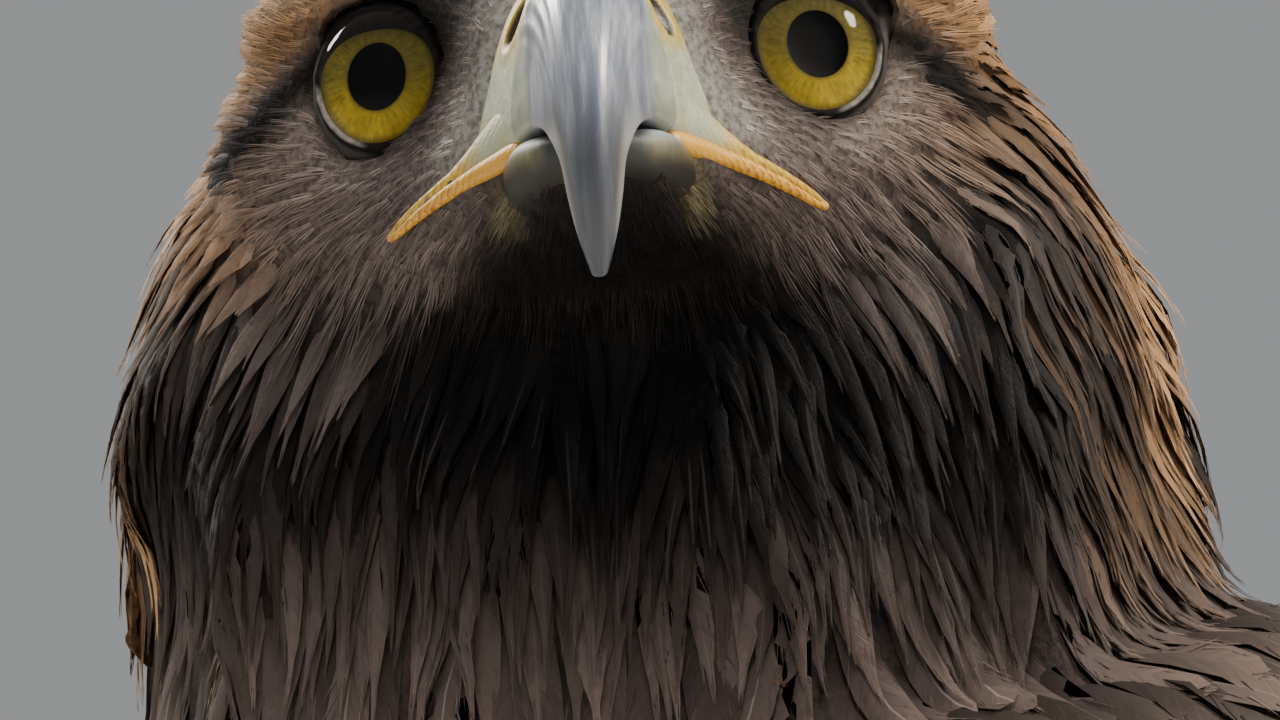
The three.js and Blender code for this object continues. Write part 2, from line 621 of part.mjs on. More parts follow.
// Toes: name, direction in degrees from straight ahead (outwards is positive), length and thickness, claw length.
const TOES = [
  { name: 'inner', turn: -34, length: 45, thick: 9.2, claw: 40 },
  { name: 'middle', turn: 4, length: 64, thick: 8.8, claw: 33 },
  { name: 'outer', turn: 44, length: 50, thick: 8.2, claw: 28 },
  { name: 'hind', turn: 172, length: 38, thick: 9.6, claw: 46 },
];
const SOLE = 1.2; // height of the flats under the pads, before the bird is set on the floor
const SCUTE = 1.1; // how far the plates on the toes stand up
function toeLine({ turn, length, thick }, side) {
  const heading = vec(side * Math.sin(rad(turn)), -Math.cos(rad(turn)), 0);
  const at = (share, z) => vec(side * FOOT_X, FOOT_Y, z).addScaledVector(heading, share * length);
  return { heading, at, thick };
}
const TOE_RINGS = 6;
function toe(spec, side) {
  const { heading, at, thick } = toeLine(spec, side);
  const across = vec(-heading.y, heading.x, 0);
  return tube(6, TOE_RINGS, (t, angle, r) => {
    const pads = 1 + 0.1 * Math.cos(t * 3 * 2 * Math.PI);
    const size = thick * lerp(1, 0.74, t) * pads * Math.sqrt(1 - (t * 0.86) ** 6);
    const centre = at(lerp(0.16, 1.04, t), SOLE + 0.84 * size + 4 * Math.max(0, 1 - t / 0.5) ** 2);
    const plate = Math.round(t * TOE_RINGS) % 2;
    const scute = Math.cos(angle) > 0.2 && t > 0.3 ? SCUTE * plate : 0;
    centre.addScaledVector(across, Math.sin(angle) * size * r * 0.95);
    centre.z = Math.max(centre.z + Math.cos(angle) * (size * 1.04 + scute) * r, SOLE);
    return centre;
  });
}
function claw(spec, side, grow = 0) {
  const { heading, at, thick } = toeLine(spec, side);
  const reach = spec.claw * 0.74;
  const base = at(0.9, SOLE + thick * 0.66);
  const points = [[0, 0], [0.34, 0.12], [0.68, -0.02], [0.93, -0.28]].map(([along, rise]) =>
    base.clone().addScaledVector(heading, along * reach).add(vec(0, 0, rise * thick * 2.2)));
  const last = points[points.length - 1];
  last.z = Math.max(last.z, SOLE + 1.2);
  return rod(points, (t) => lerp(thick * 0.5, 0.7, t ** 1.2), { sides: 5, rings: 5, flatten: 1.25, grow });
}
function foot(side) {
  const pad = ball([side * FOOT_X, FOOT_Y, 12.4], [14.5, 15.5, 10.8], 8, 5);
  let shape = joined([pad, ...TOES.map((spec) => toe(spec, side))]);
  shape = shape.subtract(shank(side, GAP));
  for (const spec of TOES) shape = shape.subtract(claw(spec, side, GAP));
  return largest(shape);
}

// Colours and finishes.
const finish = (color, roughness) => new THREE.MeshStandardMaterial({ color, roughness, metalness: 0 });
const DARK_FEATHER = finish(0x33271f, 0.8);
const HEAD_FEATHER = finish(0x54402e, 0.8);
const NAPE_FEATHER = finish(0x9c6f3f, 0.75);
const FLIGHT_FEATHER = finish(0x3a2f28, 0.65);
const LEG_FEATHER = finish(0x6b5038, 0.8);
const HORN_GREY = finish(0x6f7680, 0.35);
const CERE_YELLOW = finish(0xc9a227, 0.5);
const TOE_YELLOW = finish(0xd8a826, 0.55);
const CLAW_BLACK = finish(0x17161a, 0.35);
const EYE_AMBER = finish(0x8a7418, 0.1);

const bird = new THREE.Group();
function addPart(name, shape, material) {
  const mesh = new THREE.Mesh(geometryOf(shape), material);
  mesh.name = name;
  bird.add(mesh);
}

// Head, bill and eyes.
const hornShape = (grow = 0) => billShape(HORN, 14, 13, { grow, narrowing: 0.4 });
const lips = (drop, grow = 0) => joined([1, -1].map((side) => gapeLip(side, drop, grow)));
const upperRim = (grow = 0) => billShape(CERE, 16, 4, { grow, narrowing: 0.42 }).add(lips(-1.2, grow));
const lowerRim = (grow = 0) => billShape(MANDIBLE, 14, 7, { grow, roundness: 0.5 }).add(lips(2.4, grow));
const nostrils = joined([1, -1].map(nostril));
const billRoot = upperRim(2 * GAP).add(lowerRim(2 * GAP));
addPart('head', largest(head().subtract(billRoot)), HEAD_FEATHER);
addPart('cere', largest(upperRim().subtract(nostrils)), CERE_YELLOW);
addPart('upper_beak', hornShape(), HORN_GREY);
addPart('lower_beak', largest(lowerRim().subtract(hornShape(GAP)).subtract(upperRim(GAP))), HORN_GREY);
addPart('eye_l', eyeball(1, EYEBALL_RADIUS), EYE_AMBER);
addPart('eye_r', eyeball(-1, EYEBALL_RADIUS), EYE_AMBER);

// Neck, torso, wings, tail and legs.
const beds = wingBed(1).add(wingBed(-1));
const trunkGrown = trunk(GAP);
addPart('neck', largest(joined([trunk().intersect(trunkCut(1)), ...hackles()]).subtract(headBlob(2 * GAP))), NAPE_FEATHER);
addPart('torso', largest(trunk().intersect(trunkCut(-1)).subtract(beds)), DARK_FEATHER);
for (const [suffix, side] of [['l', 1], ['r', -1]]) {
  addPart(`wing_${suffix}_coverts`, largest(wingCoverts(side)), DARK_FEATHER);
  addPart(`wing_${suffix}_secondaries`, largest(secondaries(side)), FLIGHT_FEATHER);
  addPart(`wing_${suffix}_primaries`, largest(primaries(side)), FLIGHT_FEATHER);
  addPart(`thigh_${suffix}`, largest(joined([trouser(side), ...trouserLocks(side)]).subtract(trunkGrown).subtract(beds)), LEG_FEATHER);
  addPart(`shank_${suffix}`, largest(shank(side).subtract(trouser(side, GAP))), LEG_FEATHER);
  addPart(`foot_${suffix}`, foot(side), TOE_YELLOW);
  for (const spec of TOES) addPart(`claw_${suffix}_${spec.name}`, claw(spec, side), CLAW_BLACK);
}
addPart('tail', largest(tail().subtract(trunkGrown)), FLIGHT_FEATHER);

// The floor is z = 0 and the middle of the whole bird is over the origin.
for (const mesh of bird.children) mesh.geometry.translate(0, -MIDDLE_Y, -SOLE);

export default bird;
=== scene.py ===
# %% [markdown]
# A golden eagle, whole and life-size, standing with its wings folded and its head turned to its left. The
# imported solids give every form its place. Here they get a skin, a coat of feathers, a horn bill, wet eyes
# and scaly toes. Lengths are named in millimetres, as a keeper would measure the bird, and turned into
# metres where the pieces are made, so that the numbers stay easy to read.

# %% The frame
import math

import bpy
import numpy as np
from mathutils import Matrix, Vector
from mathutils.bvhtree import BVHTree
from mathutils.kdtree import KDTree


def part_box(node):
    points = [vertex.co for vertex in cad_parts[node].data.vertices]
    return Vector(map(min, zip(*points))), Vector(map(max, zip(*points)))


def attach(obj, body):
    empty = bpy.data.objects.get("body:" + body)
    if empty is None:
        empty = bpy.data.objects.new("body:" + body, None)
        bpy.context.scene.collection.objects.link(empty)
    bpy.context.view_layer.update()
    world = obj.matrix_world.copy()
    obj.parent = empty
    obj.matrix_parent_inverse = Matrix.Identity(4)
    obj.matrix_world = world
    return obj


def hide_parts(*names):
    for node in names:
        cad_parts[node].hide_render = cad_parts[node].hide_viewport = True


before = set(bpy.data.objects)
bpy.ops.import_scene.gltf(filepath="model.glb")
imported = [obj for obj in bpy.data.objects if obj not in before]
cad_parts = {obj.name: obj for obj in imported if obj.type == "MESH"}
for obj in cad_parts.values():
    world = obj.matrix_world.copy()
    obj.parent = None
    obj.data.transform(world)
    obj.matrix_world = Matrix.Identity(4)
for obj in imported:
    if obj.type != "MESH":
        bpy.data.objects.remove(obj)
bpy.context.view_layer.update()
MM = 0.001
SIDES = {"l": 1, "r": -1}

# %% [markdown]
# The head has its own frame: x to the bird's left, y to the back, z up, from the line between the eyes. The
# face could be measured in the frame of the whole bird, but there a turned head is lopsided. In its own
# frame both sides have the same numbers. The two eye solids say where it is, and three angles say how it is
# turned.

# %% The head's own frame
HEAD_TURN, HEAD_LIFT, HEAD_ROLL = 32, 9, 4.2
EYE_SET_BACK, EYE_SET_UP = 4.5, 0.5
EYE_OUTWARD = 28


def middle(node):
    low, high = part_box(node)
    return (low + high) / 2


head_turning = (Matrix.Rotation(math.radians(HEAD_TURN), 3, "Z")
                @ Matrix.Rotation(-math.radians(HEAD_ROLL), 3, "Y")
                @ Matrix.Rotation(-math.radians(HEAD_LIFT), 3, "X"))
HEAD_AXES = np.array(head_turning)
eye_middle = (middle("eye_l") + middle("eye_r")) / 2
EYE_LINE = np.array(eye_middle) - HEAD_AXES @ np.array((0, EYE_SET_BACK, EYE_SET_UP)) * MM
EYE_HALF_SPAN = (middle("eye_l") - middle("eye_r")).length / 2 / MM


def head_place(points):
    """Points of the head's frame, in millimetres, as places in metres."""
    return np.asarray(points, float) @ HEAD_AXES.T * MM + EYE_LINE


def head_measure(places):
    """Places in metres as points of the head's frame, in millimetres."""
    return (np.asarray(places, float) - EYE_LINE) / MM @ HEAD_AXES


print("eyes at", EYE_LINE.round(4), "half span", round(EYE_HALF_SPAN, 2), "mm")

# %% [markdown]
# The camera comes first, because it says how fine each piece has to be. The picture is a close portrait: at
# the eyes it is 178 mm wide and taken level. A short lens close by would swell the bill, so a long one is
# used from 1.4 m away. The bird looks almost straight into it: the camera stands 1.7 degrees beyond the
# turn of the head.

# %% Camera
EYE_DISTANCE = 1400
PICTURE_WIDTH_AT_EYES = 177.8
SENSOR = 36
AIM_RIGHT, AIM_DOWN = 5.8, 40.6
BEYOND_HEAD_TURN = 1.7

turn = math.radians(HEAD_TURN + BEYOND_HEAD_TURN)
towards_lens = Vector((math.sin(turn), -math.cos(turn), 0))
to_the_right = Vector((math.cos(turn), math.sin(turn), 0))
aim = Vector(EYE_LINE) + to_the_right * AIM_RIGHT * MM - Vector((0, 0, AIM_DOWN * MM))
camera_data = bpy.data.cameras.new("portrait_camera")
camera_data.sensor_width = SENSOR
camera_data.lens = SENSOR * EYE_DISTANCE / PICTURE_WIDTH_AT_EYES
camera_data.clip_start, camera_data.clip_end = 0.05, 50
camera = bpy.data.objects.new("portrait_camera", camera_data)
bpy.context.scene.collection.objects.link(camera)
camera.location = aim + towards_lens * EYE_DISTANCE * MM
camera.rotation_euler = (-towards_lens).to_track_quat("-Z", "Y").to_euler()
bpy.context.scene.camera = camera
print("lens", round(camera_data.lens), "mm at", [round(x, 3) for x in camera.location])

# %% [markdown]
# Plain studio light: a pale room, one wide soft lamp over the lens for the face, and two from behind the
# shoulders that draw the golden edge of the neck. A weak lamp low at the front opens the black throat. One
# sun would be simpler, but hard shadows break up a coat of fine feathers. Only the edge lamps show in the
# wet eyes.

# %% Lights
LAMPS = [  # name, direction it comes from, distance, size, power, colour
    ("key", (0.75, -1.2, 2.1), 2.4, 0.8, 46, (1, 0.97, 0.94)),
    ("left_edge", (-1.6, 0.35, 0.8), 2.0, 0.5, 44, (1, 0.92, 0.82)),
    ("right_edge", (1.5, 0.9, 1.2), 2.0, 0.5, 60, (1, 0.92, 0.82)),
    ("low_fill", (-1.0, -1.6, 0.2), 2.4, 1.4, 7, (0.9, 0.94, 1)),
]
LAMP_AIM = Vector((0, -0.1, 0.5))
for name, direction, distance, size, power, colour in LAMPS:
    lamp_data = bpy.data.lights.new(name, "AREA")
    lamp_data.shape = "DISK"
    lamp_data.size = size
    lamp_data.energy = power
    lamp_data.color = colour
    lamp = bpy.data.objects.new(name, lamp_data)
    bpy.context.scene.collection.objects.link(lamp)
    lamp.visible_glossy = name.endswith("edge")
    lamp.location = LAMP_AIM + Vector(direction).normalized() * distance
    lamp.rotation_euler = (LAMP_AIM - lamp.location).to_track_quat("-Z", "Y").to_euler()
room = bpy.data.worlds.new("room")
bpy.context.scene.world = room
room.use_nodes = True
walls = room.node_tree.nodes["Background"].inputs
walls["Color"].default_value = (0.80, 0.82, 0.84, 1)
walls["Strength"].default_value = 0.38
print("lamps:", len(LAMPS))

# %% [markdown]
# Finishes are small programs of nodes. They could be wired one link at a time, which is long to read. Here
# Joint wraps one socket, so that sums on values read as plain Python, and Finish adds any other node by its
# kind, its settings and what goes into it.

# %% Shader maths
class Joint:
    """One output of a node, which can be used in sums."""

    def __init__(self, finish, output):
        self.finish, self.output = finish, output

    def sum(self, operation, other=0.0, swap=False):
        first, second = (other, self) if swap else (self, other)
        return self.finish.node("ShaderNodeMath", {"operation": operation}, {0: first, 1: second})

    def __add__(self, other): return self.sum("ADD", other)
    def __radd__(self, other): return self.sum("ADD", other)
    def __sub__(self, other): return self.sum("SUBTRACT", other)
    def __rsub__(self, other): return self.sum("SUBTRACT", other, swap=True)
    def __mul__(self, other): return self.sum("MULTIPLY", other)
    def __rmul__(self, other): return self.sum("MULTIPLY", other)
    def __truediv__(self, other): return self.sum("DIVIDE", other)
    def __pow__(self, other): return self.sum("POWER", other)

    def size(self): return self.sum("ABSOLUTE")
    def wave(self): return self.sum("SINE")
    def least(self, other): return self.sum("MINIMUM", other)

    def between(self, low, high):
        """0 below low and 1 above high, smooth between them."""
        return self.finish.node("ShaderNodeMapRange", {"interpolation_type": "SMOOTHSTEP"},
                                {"Value": self, "From Min": low, "From Max": high})


class Finish:
    """A material with one principled surface."""

    def __init__(self, name, **constants):
        self.material = bpy.data.materials.new(name)
        self.material.use_nodes = True
        self.tree = self.material.node_tree
        self.tree.nodes.clear()
        self.surface = self.tree.nodes.new("ShaderNodeBsdfPrincipled")
        output = self.tree.nodes.new("ShaderNodeOutputMaterial")
        self.tree.links.new(self.surface.outputs[0], output.inputs[0])
        for socket, value in constants.items():
            self.feed(self.surface.inputs[socket.replace("_", " ")], value)

    def feed(self, socket, value):
        if isinstance(value, Joint):
            self.tree.links.new(value.output, socket)
        elif isinstance(value, (tuple, list)) and socket.type == "RGBA":
            socket.default_value = (*value[:3], 1)
        else:
            socket.default_value = value

    def node(self, kind, settings=None, inputs=None, output=0):
        made = self.tree.nodes.new(kind)
        for key, value in (settings or {}).items():
            if key == "stops":
                while len(made.color_ramp.elements) < len(value):
                    made.color_ramp.elements.new(0.5)
                for element, (place, colour) in zip(made.color_ramp.elements, value):
                    element.position = place
                    element.color = (*colour, 1)
            else:
                setattr(made, key, value)
        for key, value in (inputs or {}).items():
            self.feed(made.inputs[key], value)
        return Joint(self, made.outputs[output])

    def place(self):
        return self.node("ShaderNodeTexCoord", output="Object")

    def attribute(self, name, output="Color"):
        return self.node("ShaderNodeAttribute", {"attribute_name": name}, output=output)

    def parts(self, vector):
        made = self.tree.nodes.new("ShaderNodeSeparateXYZ")
        self.feed(made.inputs[0], vector)
        return [Joint(self, made.outputs[k]) for k in range(3)]

    def join(self, x=0.0, y=0.0, z=0.0):
        return self.node("ShaderNodeCombineXYZ", None, {0: x, 1: y, 2: z})

    def noise(self, vector, scale, detail=3.0, roughness=0.5):
        return self.node("ShaderNodeTexNoise", None,
                         {"Vector": vector, "Scale": scale, "Detail": detail, "Roughness": roughness})

    def mix(self, share, first, second, way="MIX"):
        made = self.tree.nodes.new("ShaderNodeMix")
        made.data_type = "RGBA"
        made.blend_type = way
        for key, value in ((0, share), (6, first), (7, second)):
            self.feed(made.inputs[key], value)
        return Joint(self, made.outputs[2])

    def ramp(self, value, stops):
        return self.node("ShaderNodeValToRGB", {"stops": stops}, {0: value})

    def set(self, **values):
        for socket, value in values.items():
            self.feed(self.surface.inputs[socket.replace("_", " ")], value)
        return self

    def bump(self, height, strength, distance):
        return self.set(Normal=self.node("ShaderNodeBump", None,
                                         {"Height": height, "Strength": strength, "Distance": distance}))


print("shader maths ready")

# %% [markdown]
# A few ways of working are used again and again: nothing stays selected by chance, a modifier is applied as
# soon as it is set, and points are read and written as whole arrays. One point at a time would also work,
# and would take minutes on a coat of this size. Each piece gets its material and its body as soon as it is
# done.

# %% Helpers for pieces
def pick(*objects):
    bpy.ops.object.select_all(action="DESELECT")
    for one in objects:
        one.select_set(True)
    bpy.context.view_layer.objects.active = objects[0]


def apply_modifier(piece, kind, **settings):
    pick(piece)
    modifier = piece.modifiers.new(kind.lower(), kind)
    for key, value in settings.items():
        setattr(modifier, key, value)
    bpy.ops.object.modifier_apply(modifier=modifier.name)


def edit(piece, action):
    """Runs action in edit mode with all of the piece selected."""
    pick(piece)
    bpy.ops.object.mode_set(mode="EDIT")
    bpy.ops.mesh.select_all(action="SELECT")
    action()
    bpy.ops.object.mode_set(mode="OBJECT")


def places_of(piece):
    flat = np.zeros(len(piece.data.vertices) * 3, np.float32)
    piece.data.vertices.foreach_get("co", flat)
    return flat.reshape(-1, 3).astype(float)


def set_places(piece, places):
    piece.data.vertices.foreach_set("co", np.asarray(places, np.float32).ravel())
    piece.data.update()


def finish_piece(piece, material, replaced=()):
    """Each piece rides on the one body and has a material and perhaps solids that it stands for."""
    piece.data.materials.clear()
    piece.data.materials.append(material)
    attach(piece, "root")
    if replaced:
        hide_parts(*replaced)
    print(f"{piece.name}: {sum(len(p.vertices) - 2 for p in piece.data.polygons)} triangles")
    return piece


def blend(low, high, value):
    """0 at low, 1 at high and smooth between them. Arrays or numbers."""
    share = np.clip((value - low) / (high - low), 0, 1)
    return share * share * (3 - 2 * share)


def unit(vectors):
    return vectors / np.maximum(np.linalg.norm(vectors, axis=-1, keepdims=True), 1e-9)


def along_stations(rows, t):
    """Values between rows of stations, on a smooth curve through them, for t from 0 to 1."""
    rows = np.asarray(rows, float)
    x = np.clip(np.asarray(t, float), 0, 1) * (len(rows) - 1)
    i = np.minimum(x.astype(int), len(rows) - 2)
    f = (x - i)[..., None]
    p0, p1, p2, p3 = [rows[np.clip(i + k, 0, len(rows) - 1)] for k in (-1, 0, 1, 2)]
    return 0.5 * (2 * p1 + (p2 - p0) * f + (2 * p0 - 5 * p1 + 4 * p2 - p3) * f ** 2
                  + (3 * p1 - p0 - 3 * p2 + p3) * f ** 3)


def loft(name, around, along, place):
    """A grid rolled into a closed tube: place(t, angle) gives each point, and the ends are filled."""
    bpy.ops.object.select_all(action="DESELECT")
    bpy.ops.mesh.primitive_grid_add(x_subdivisions=around, y_subdivisions=along, size=1)
    piece = bpy.context.active_object
    piece.name = piece.data.name = name
    flat = places_of(piece)
    set_places(piece, place(flat[:, 1] + 0.5, (flat[:, 0] + 0.5) * 2 * math.pi))

    def close():
        bpy.ops.mesh.remove_doubles(threshold=2e-6)
        bpy.ops.mesh.fill_holes(sides=0)
        bpy.ops.mesh.normals_make_consistent(inside=False)

    edit(piece, close)
    pick(piece)
    bpy.ops.object.shade_smooth()
    return piece


# %% [markdown]
# A pale floor, wide enough for every view. A bird held in the air would be simpler, but its shadow on the
# floor shows that it stands on its feet. A disc is enough, as its rim is far outside the picture.

# %% Floor
bpy.ops.object.select_all(action="DESELECT")
bpy.ops.mesh.primitive_circle_add(vertices=96, radius=6, fill_type="NGON", location=(0, 0, 0))
floor = bpy.context.active_object
floor.name = "floor"
paint = Finish("pale_floor", Roughness=0.75)
cloudy = paint.noise(paint.place(), 3.0, 4.0)
paint.set(Base_Color=paint.ramp(cloudy, [(0.3, (0.70, 0.69, 0.67)), (0.7, (0.76, 0.75, 0.73))]))
floor.data.materials.append(paint.material)

# %% [markdown]
# The folded wing is a surface of its own that hugs the body: a runs from the shoulder to the wing's tip and
# b from its upper edge to its lower one. Feathers could be set by hand, each with a place and a turn. On a
# surface two numbers say where each one lies. The flesh is a low cushion on it, which thins out under the
# coverts.

# %% Wing surface
CENTRED = np.array((0, 144.95, 1.2))
WING_STATIONS = np.array([  # y, z, slope, lateral and dorsal radius, angles of the upper and lower edge
    (-40, 508, 12, 85, 62, 50, 146),
    (-22, 462, 20, 96, 76, 31, 145),
    (10, 402, 27, 102, 83, 19, 138),
    (50, 338, 33, 101, 80, 12, 127),
    (98, 276, 39, 90, 68, 9, 116),
    (158, 218, 46, 71, 51, 10, 107),
    (232, 163, 51, 52, 36, 20, 102),
    (300, 118, 54, 40, 27, 32, 99),
    (356, 80, 55, 30, 21, 46, 97),
], float)
WING_RAISE = {1: 10, -1: -10}
WING_FLESH = np.array([  # a, and how high the flesh is there
    (0, 0), (0.012, 10), (0.05, 19), (0.1, 22.5), (0.18, 22), (0.26, 19), (0.34, 13), (0.42, 7), (0.48, 0)])
WING_UNDERSIDE = 12


def bare_wing(side, a, b):
    y, z, slope, width, depth, start, end = np.moveaxis(along_stations(WING_STATIONS, a), -1, 0)
    angle = np.radians(start + (end - start) * b)
    up = np.cos(angle) * depth
    lift = WING_RAISE[side] * (1 - blend(0, 0.45, a))
    return np.stack([side * np.sin(angle) * width, y + up * np.cos(np.radians(slope)),
                     z + up * np.sin(np.radians(slope)) + lift], axis=-1)


def wing_frame(side, a, b, height):
    """Places over the wing's surface in metres, its normals, and the way down from its upper edge."""
    near = 0.004
    along = bare_wing(side, a + near, b) - bare_wing(side, a - near, b)
    around = bare_wing(side, a, b + near) - bare_wing(side, a, b - near)
    normal = unit(np.cross(around, along)) * side
    return (bare_wing(side, a, b) + normal * height[..., None] - CENTRED) * MM, normal, unit(around)


def wing_across(a):
    _, _, _, width, depth, start, end = np.moveaxis(along_stations(WING_STATIONS, a), -1, 0)
    return np.radians(end - start) * (width * 0.6 + depth * 0.4)


def wing_edge(b):
    return np.sqrt(np.clip(1 - np.abs(2 * b - 1) ** 5, 0, 1))


def wing_rise(a, b):
    """How high the flesh of the wing stands off its surface, in millimetres."""
    return np.interp(a, *WING_FLESH.T) * wing_edge(b)


def wing_flesh(letter, side):
    def place(t, angle):
        a, b = t * WING_FLESH[-1, 0], 0.5 - 0.5 * np.cos(angle)
        under = -WING_UNDERSIDE * np.sqrt(np.abs(np.sin(angle)))
        return wing_frame(side, a, b, np.where(np.sin(angle) > 0, wing_rise(a, b), under))[0]
    return loft(f"wing_flesh_{letter}", 72, 60, place)


# %% [markdown]
# Under the feathers is one skin. The solids could be dressed one by one, but then each neck, wing and thigh
# would end in a seam. So copies of the flesh solids and of the two wings' flesh are joined, remeshed as one
# closed surface and smoothed until the steps of the feather tiers are gone. Loose scraps of thin vanes are
# dropped.

# %% Skin
FLESH = ["head", "neck", "torso", "wing_l_coverts", "wing_r_coverts",
         "thigh_l", "thigh_r", "shank_l", "shank_r"]
REGIONS = 6
HEAD, NECK, TORSO, WING, THIGH, SHANK = range(REGIONS)
FORM_OF = {"head": HEAD, "neck": NECK, "torso": TORSO, "thigh_l": THIGH, "thigh_r": THIGH, "shank_l": SHANK,
           "shank_r": SHANK, "cere": HEAD, "lower_beak": HEAD}
SKIN_VOXEL = 3.2
SKIN_EVENING = 40


def merged_copy(node):
    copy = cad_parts[node].copy()
    copy.data = copy.data.copy()
    copy.parent = None
    for key in list(copy.keys()):
        del copy[key]
    bpy.context.scene.collection.objects.link(copy)
    edit(copy, lambda: bpy.ops.mesh.remove_doubles(threshold=1e-6))
    return copy


def surface_tree(piece):
    piece.data.calc_loop_triangles()
    corners = np.zeros(len(piece.data.loop_triangles) * 3, np.int32)
    piece.data.loop_triangles.foreach_get("vertices", corners)
    corners = corners.reshape(-1, 3)
    return BVHTree.FromPolygons(places_of(piece).tolist(), corners.tolist()), corners


copies = [merged_copy(node) for node in FORM_OF]
copies += [wing_flesh(letter, side) for letter, side in SIDES.items()]
region_trees = [surface_tree(copy)[0] for copy in copies]
pick(*copies)
bpy.ops.object.join()
skin = bpy.context.active_object
skin.name = skin.data.name = "skin"
apply_modifier(skin, "REMESH", mode="VOXEL", voxel_size=SKIN_VOXEL * MM, adaptivity=0)
edit(skin, lambda: bpy.ops.mesh.separate(type="LOOSE"))
*scraps, skin = sorted(bpy.context.selected_objects, key=lambda one: len(one.data.vertices))
for scrap in scraps:
    bpy.data.objects.remove(scrap)
skin.name = skin.data.name = "skin"
print("skin vertices:", len(skin.data.vertices))

# %% [markdown]
# Each point of the skin needs to know which part of the bird it belongs to. It could be painted by hand,
# but the solids know it already, so each vertex asks for the nearest one. Values set per region are then
# softened over the mesh, so that one tract runs into the next as on a real bird.

# %% Arrays of the skin
def skin_arrays(piece):
    places = places_of(piece)
    normals = np.zeros(len(places) * 3, np.float32)
    piece.data.vertices.foreach_get("normal", normals)
    edges = np.zeros(len(piece.data.edges) * 2, np.int32)
    piece.data.edges.foreach_get("vertices", edges)
    return places, normals.reshape(-1, 3).astype(float), edges.reshape(-1, 2)


def of_neighbours(flat, edges):
    """The mean of each vertex's neighbours."""
    total = np.zeros_like(flat)
    for column in range(flat.shape[1]):
        total[:, column] = (np.bincount(edges[:, 0], flat[edges[:, 1], column], len(flat))
                            + np.bincount(edges[:, 1], flat[edges[:, 0], column], len(flat)))
    return total / np.bincount(edges.ravel(), minlength=len(flat))[:, None]


def soften(values, edges, times):
    """Averages each vertex's value with its neighbours', so many times."""
    values = np.asarray(values, float)
    flat = values.reshape(len(values), -1)
    for _ in range(times):
        flat = flat * 0.2 + of_neighbours(flat, edges) * 0.8
    return flat.reshape(values.shape)


def even_out(piece, times):
    """Smooths a mesh and gives it back its volume each time, so that it doesn't shrink."""
    places, _, edges = skin_arrays(piece)
    for _ in range(times):
        for share in (0.6, -0.62):
            places = places + (of_neighbours(places, edges) - places) * share
    set_places(piece, places)


even_out(skin, SKIN_EVENING)
places, normals, edges = skin_arrays(skin)
FAR = 0.05
distances = np.array([[tree.find_nearest(Vector(p), FAR)[3] or FAR for tree in region_trees] for p in places])
REGION_OF = np.array([*FORM_OF.values(), WING, WING])
region = REGION_OF[distances.argmin(axis=1)]
print("skin vertices by region:", np.bincount(region, minlength=REGIONS).tolist())

# %% [markdown]
# The solids reach out to the feather tips, so the skin is drawn in by the depth of the coat. One depth for
# the whole bird would sink the face and leave the breast swollen, so each region has its own, thinner over
# the face and deeper at the root of the bill. A few places then follow the photo's outline, all in the
# camera's sense of left and right: the flank below the neck is drawn in at the left, the upper neck moves
# to the left, and the temples widen over the eyes. Moving the skin is finer than changing a solid for 2 to
# 8 mm.

# %% Coat depth
COAT_DEPTH = np.array([1.8, 3.6, 5.0, 2.0, 5.0, 2.2])  # head, neck, torso, wing, thigh, shank
FACE_THINNER = 0.45
FLANK_IN, BILL_ROOT_IN = 8.0, 1.6
NECK_LEFT, TEMPLES_OUT = 2.4, 4.6
depth = soften(COAT_DEPTH[region], edges, 30)
on_head = head_measure(places)
beside, back, up_head = np.abs(on_head[:, 0]), on_head[:, 1], on_head[:, 2]
height = places[:, 2] / MM
face_share = 1 - blend(-6, 30, back)
depth = depth * (1 - FACE_THINNER * face_share * (region == HEAD))
to_right = np.array(to_the_right)
flank = np.clip(-normals @ to_right, 0, 1) ** 2 * blend(552, 522, height) * blend(455, 495, height)
depth = soften(depth + FLANK_IN * flank * (places @ to_right < -0.03), edges, 6)
past_bill = beside - 12 - 0.5 * np.maximum(-3 - up_head, 0)
bill_root = blend(-16, -22, back) * blend(3, 0, past_bill) * blend(-19, -16, up_head)
depth = depth + BILL_ROOT_IN * bill_root
upper_neck = np.maximum(blend(574, 546, height), blend(0, 14, back) * blend(604, 584, height))
sideways = NECK_LEFT * blend(515, 550, height) * upper_neck
temple = (TEMPLES_OUT * blend(599.5, 608, height) * blend(26, 36, beside) * blend(-24, -8, back)
          * blend(50, 24, back))
head_left = unit(head_place([(1, 0, 0)]) - head_place([(0, 0, 0)]))
widened = head_left * (np.sign(on_head[:, 0]) * temple)[:, None]
move = widened - normals * depth[:, None] - to_right * sideways[:, None]
set_places(skin, places + move * MM)
even_out(skin, 6)
places, normals, edges = skin_arrays(skin)
on_head = head_measure(places)
skin_tree, skin_faces = surface_tree(skin)
print("coat depth from", round(depth.min(), 2), "to", round(depth.max(), 2), "mm")

# %% [markdown]
# The bill is a hooked sheath of horn, the waxy cere at its root and the lower bill. It could be sculpted
# from a block, but three lofts keep their sizes: each station has a ridge, a cutting edge and a half width,
# with an arch between them. The stations are those of the solids, with far more points between, so the hook
# is smooth. Each point also remembers where it is on the head, which the finish uses for its pale edges and
# streaks.

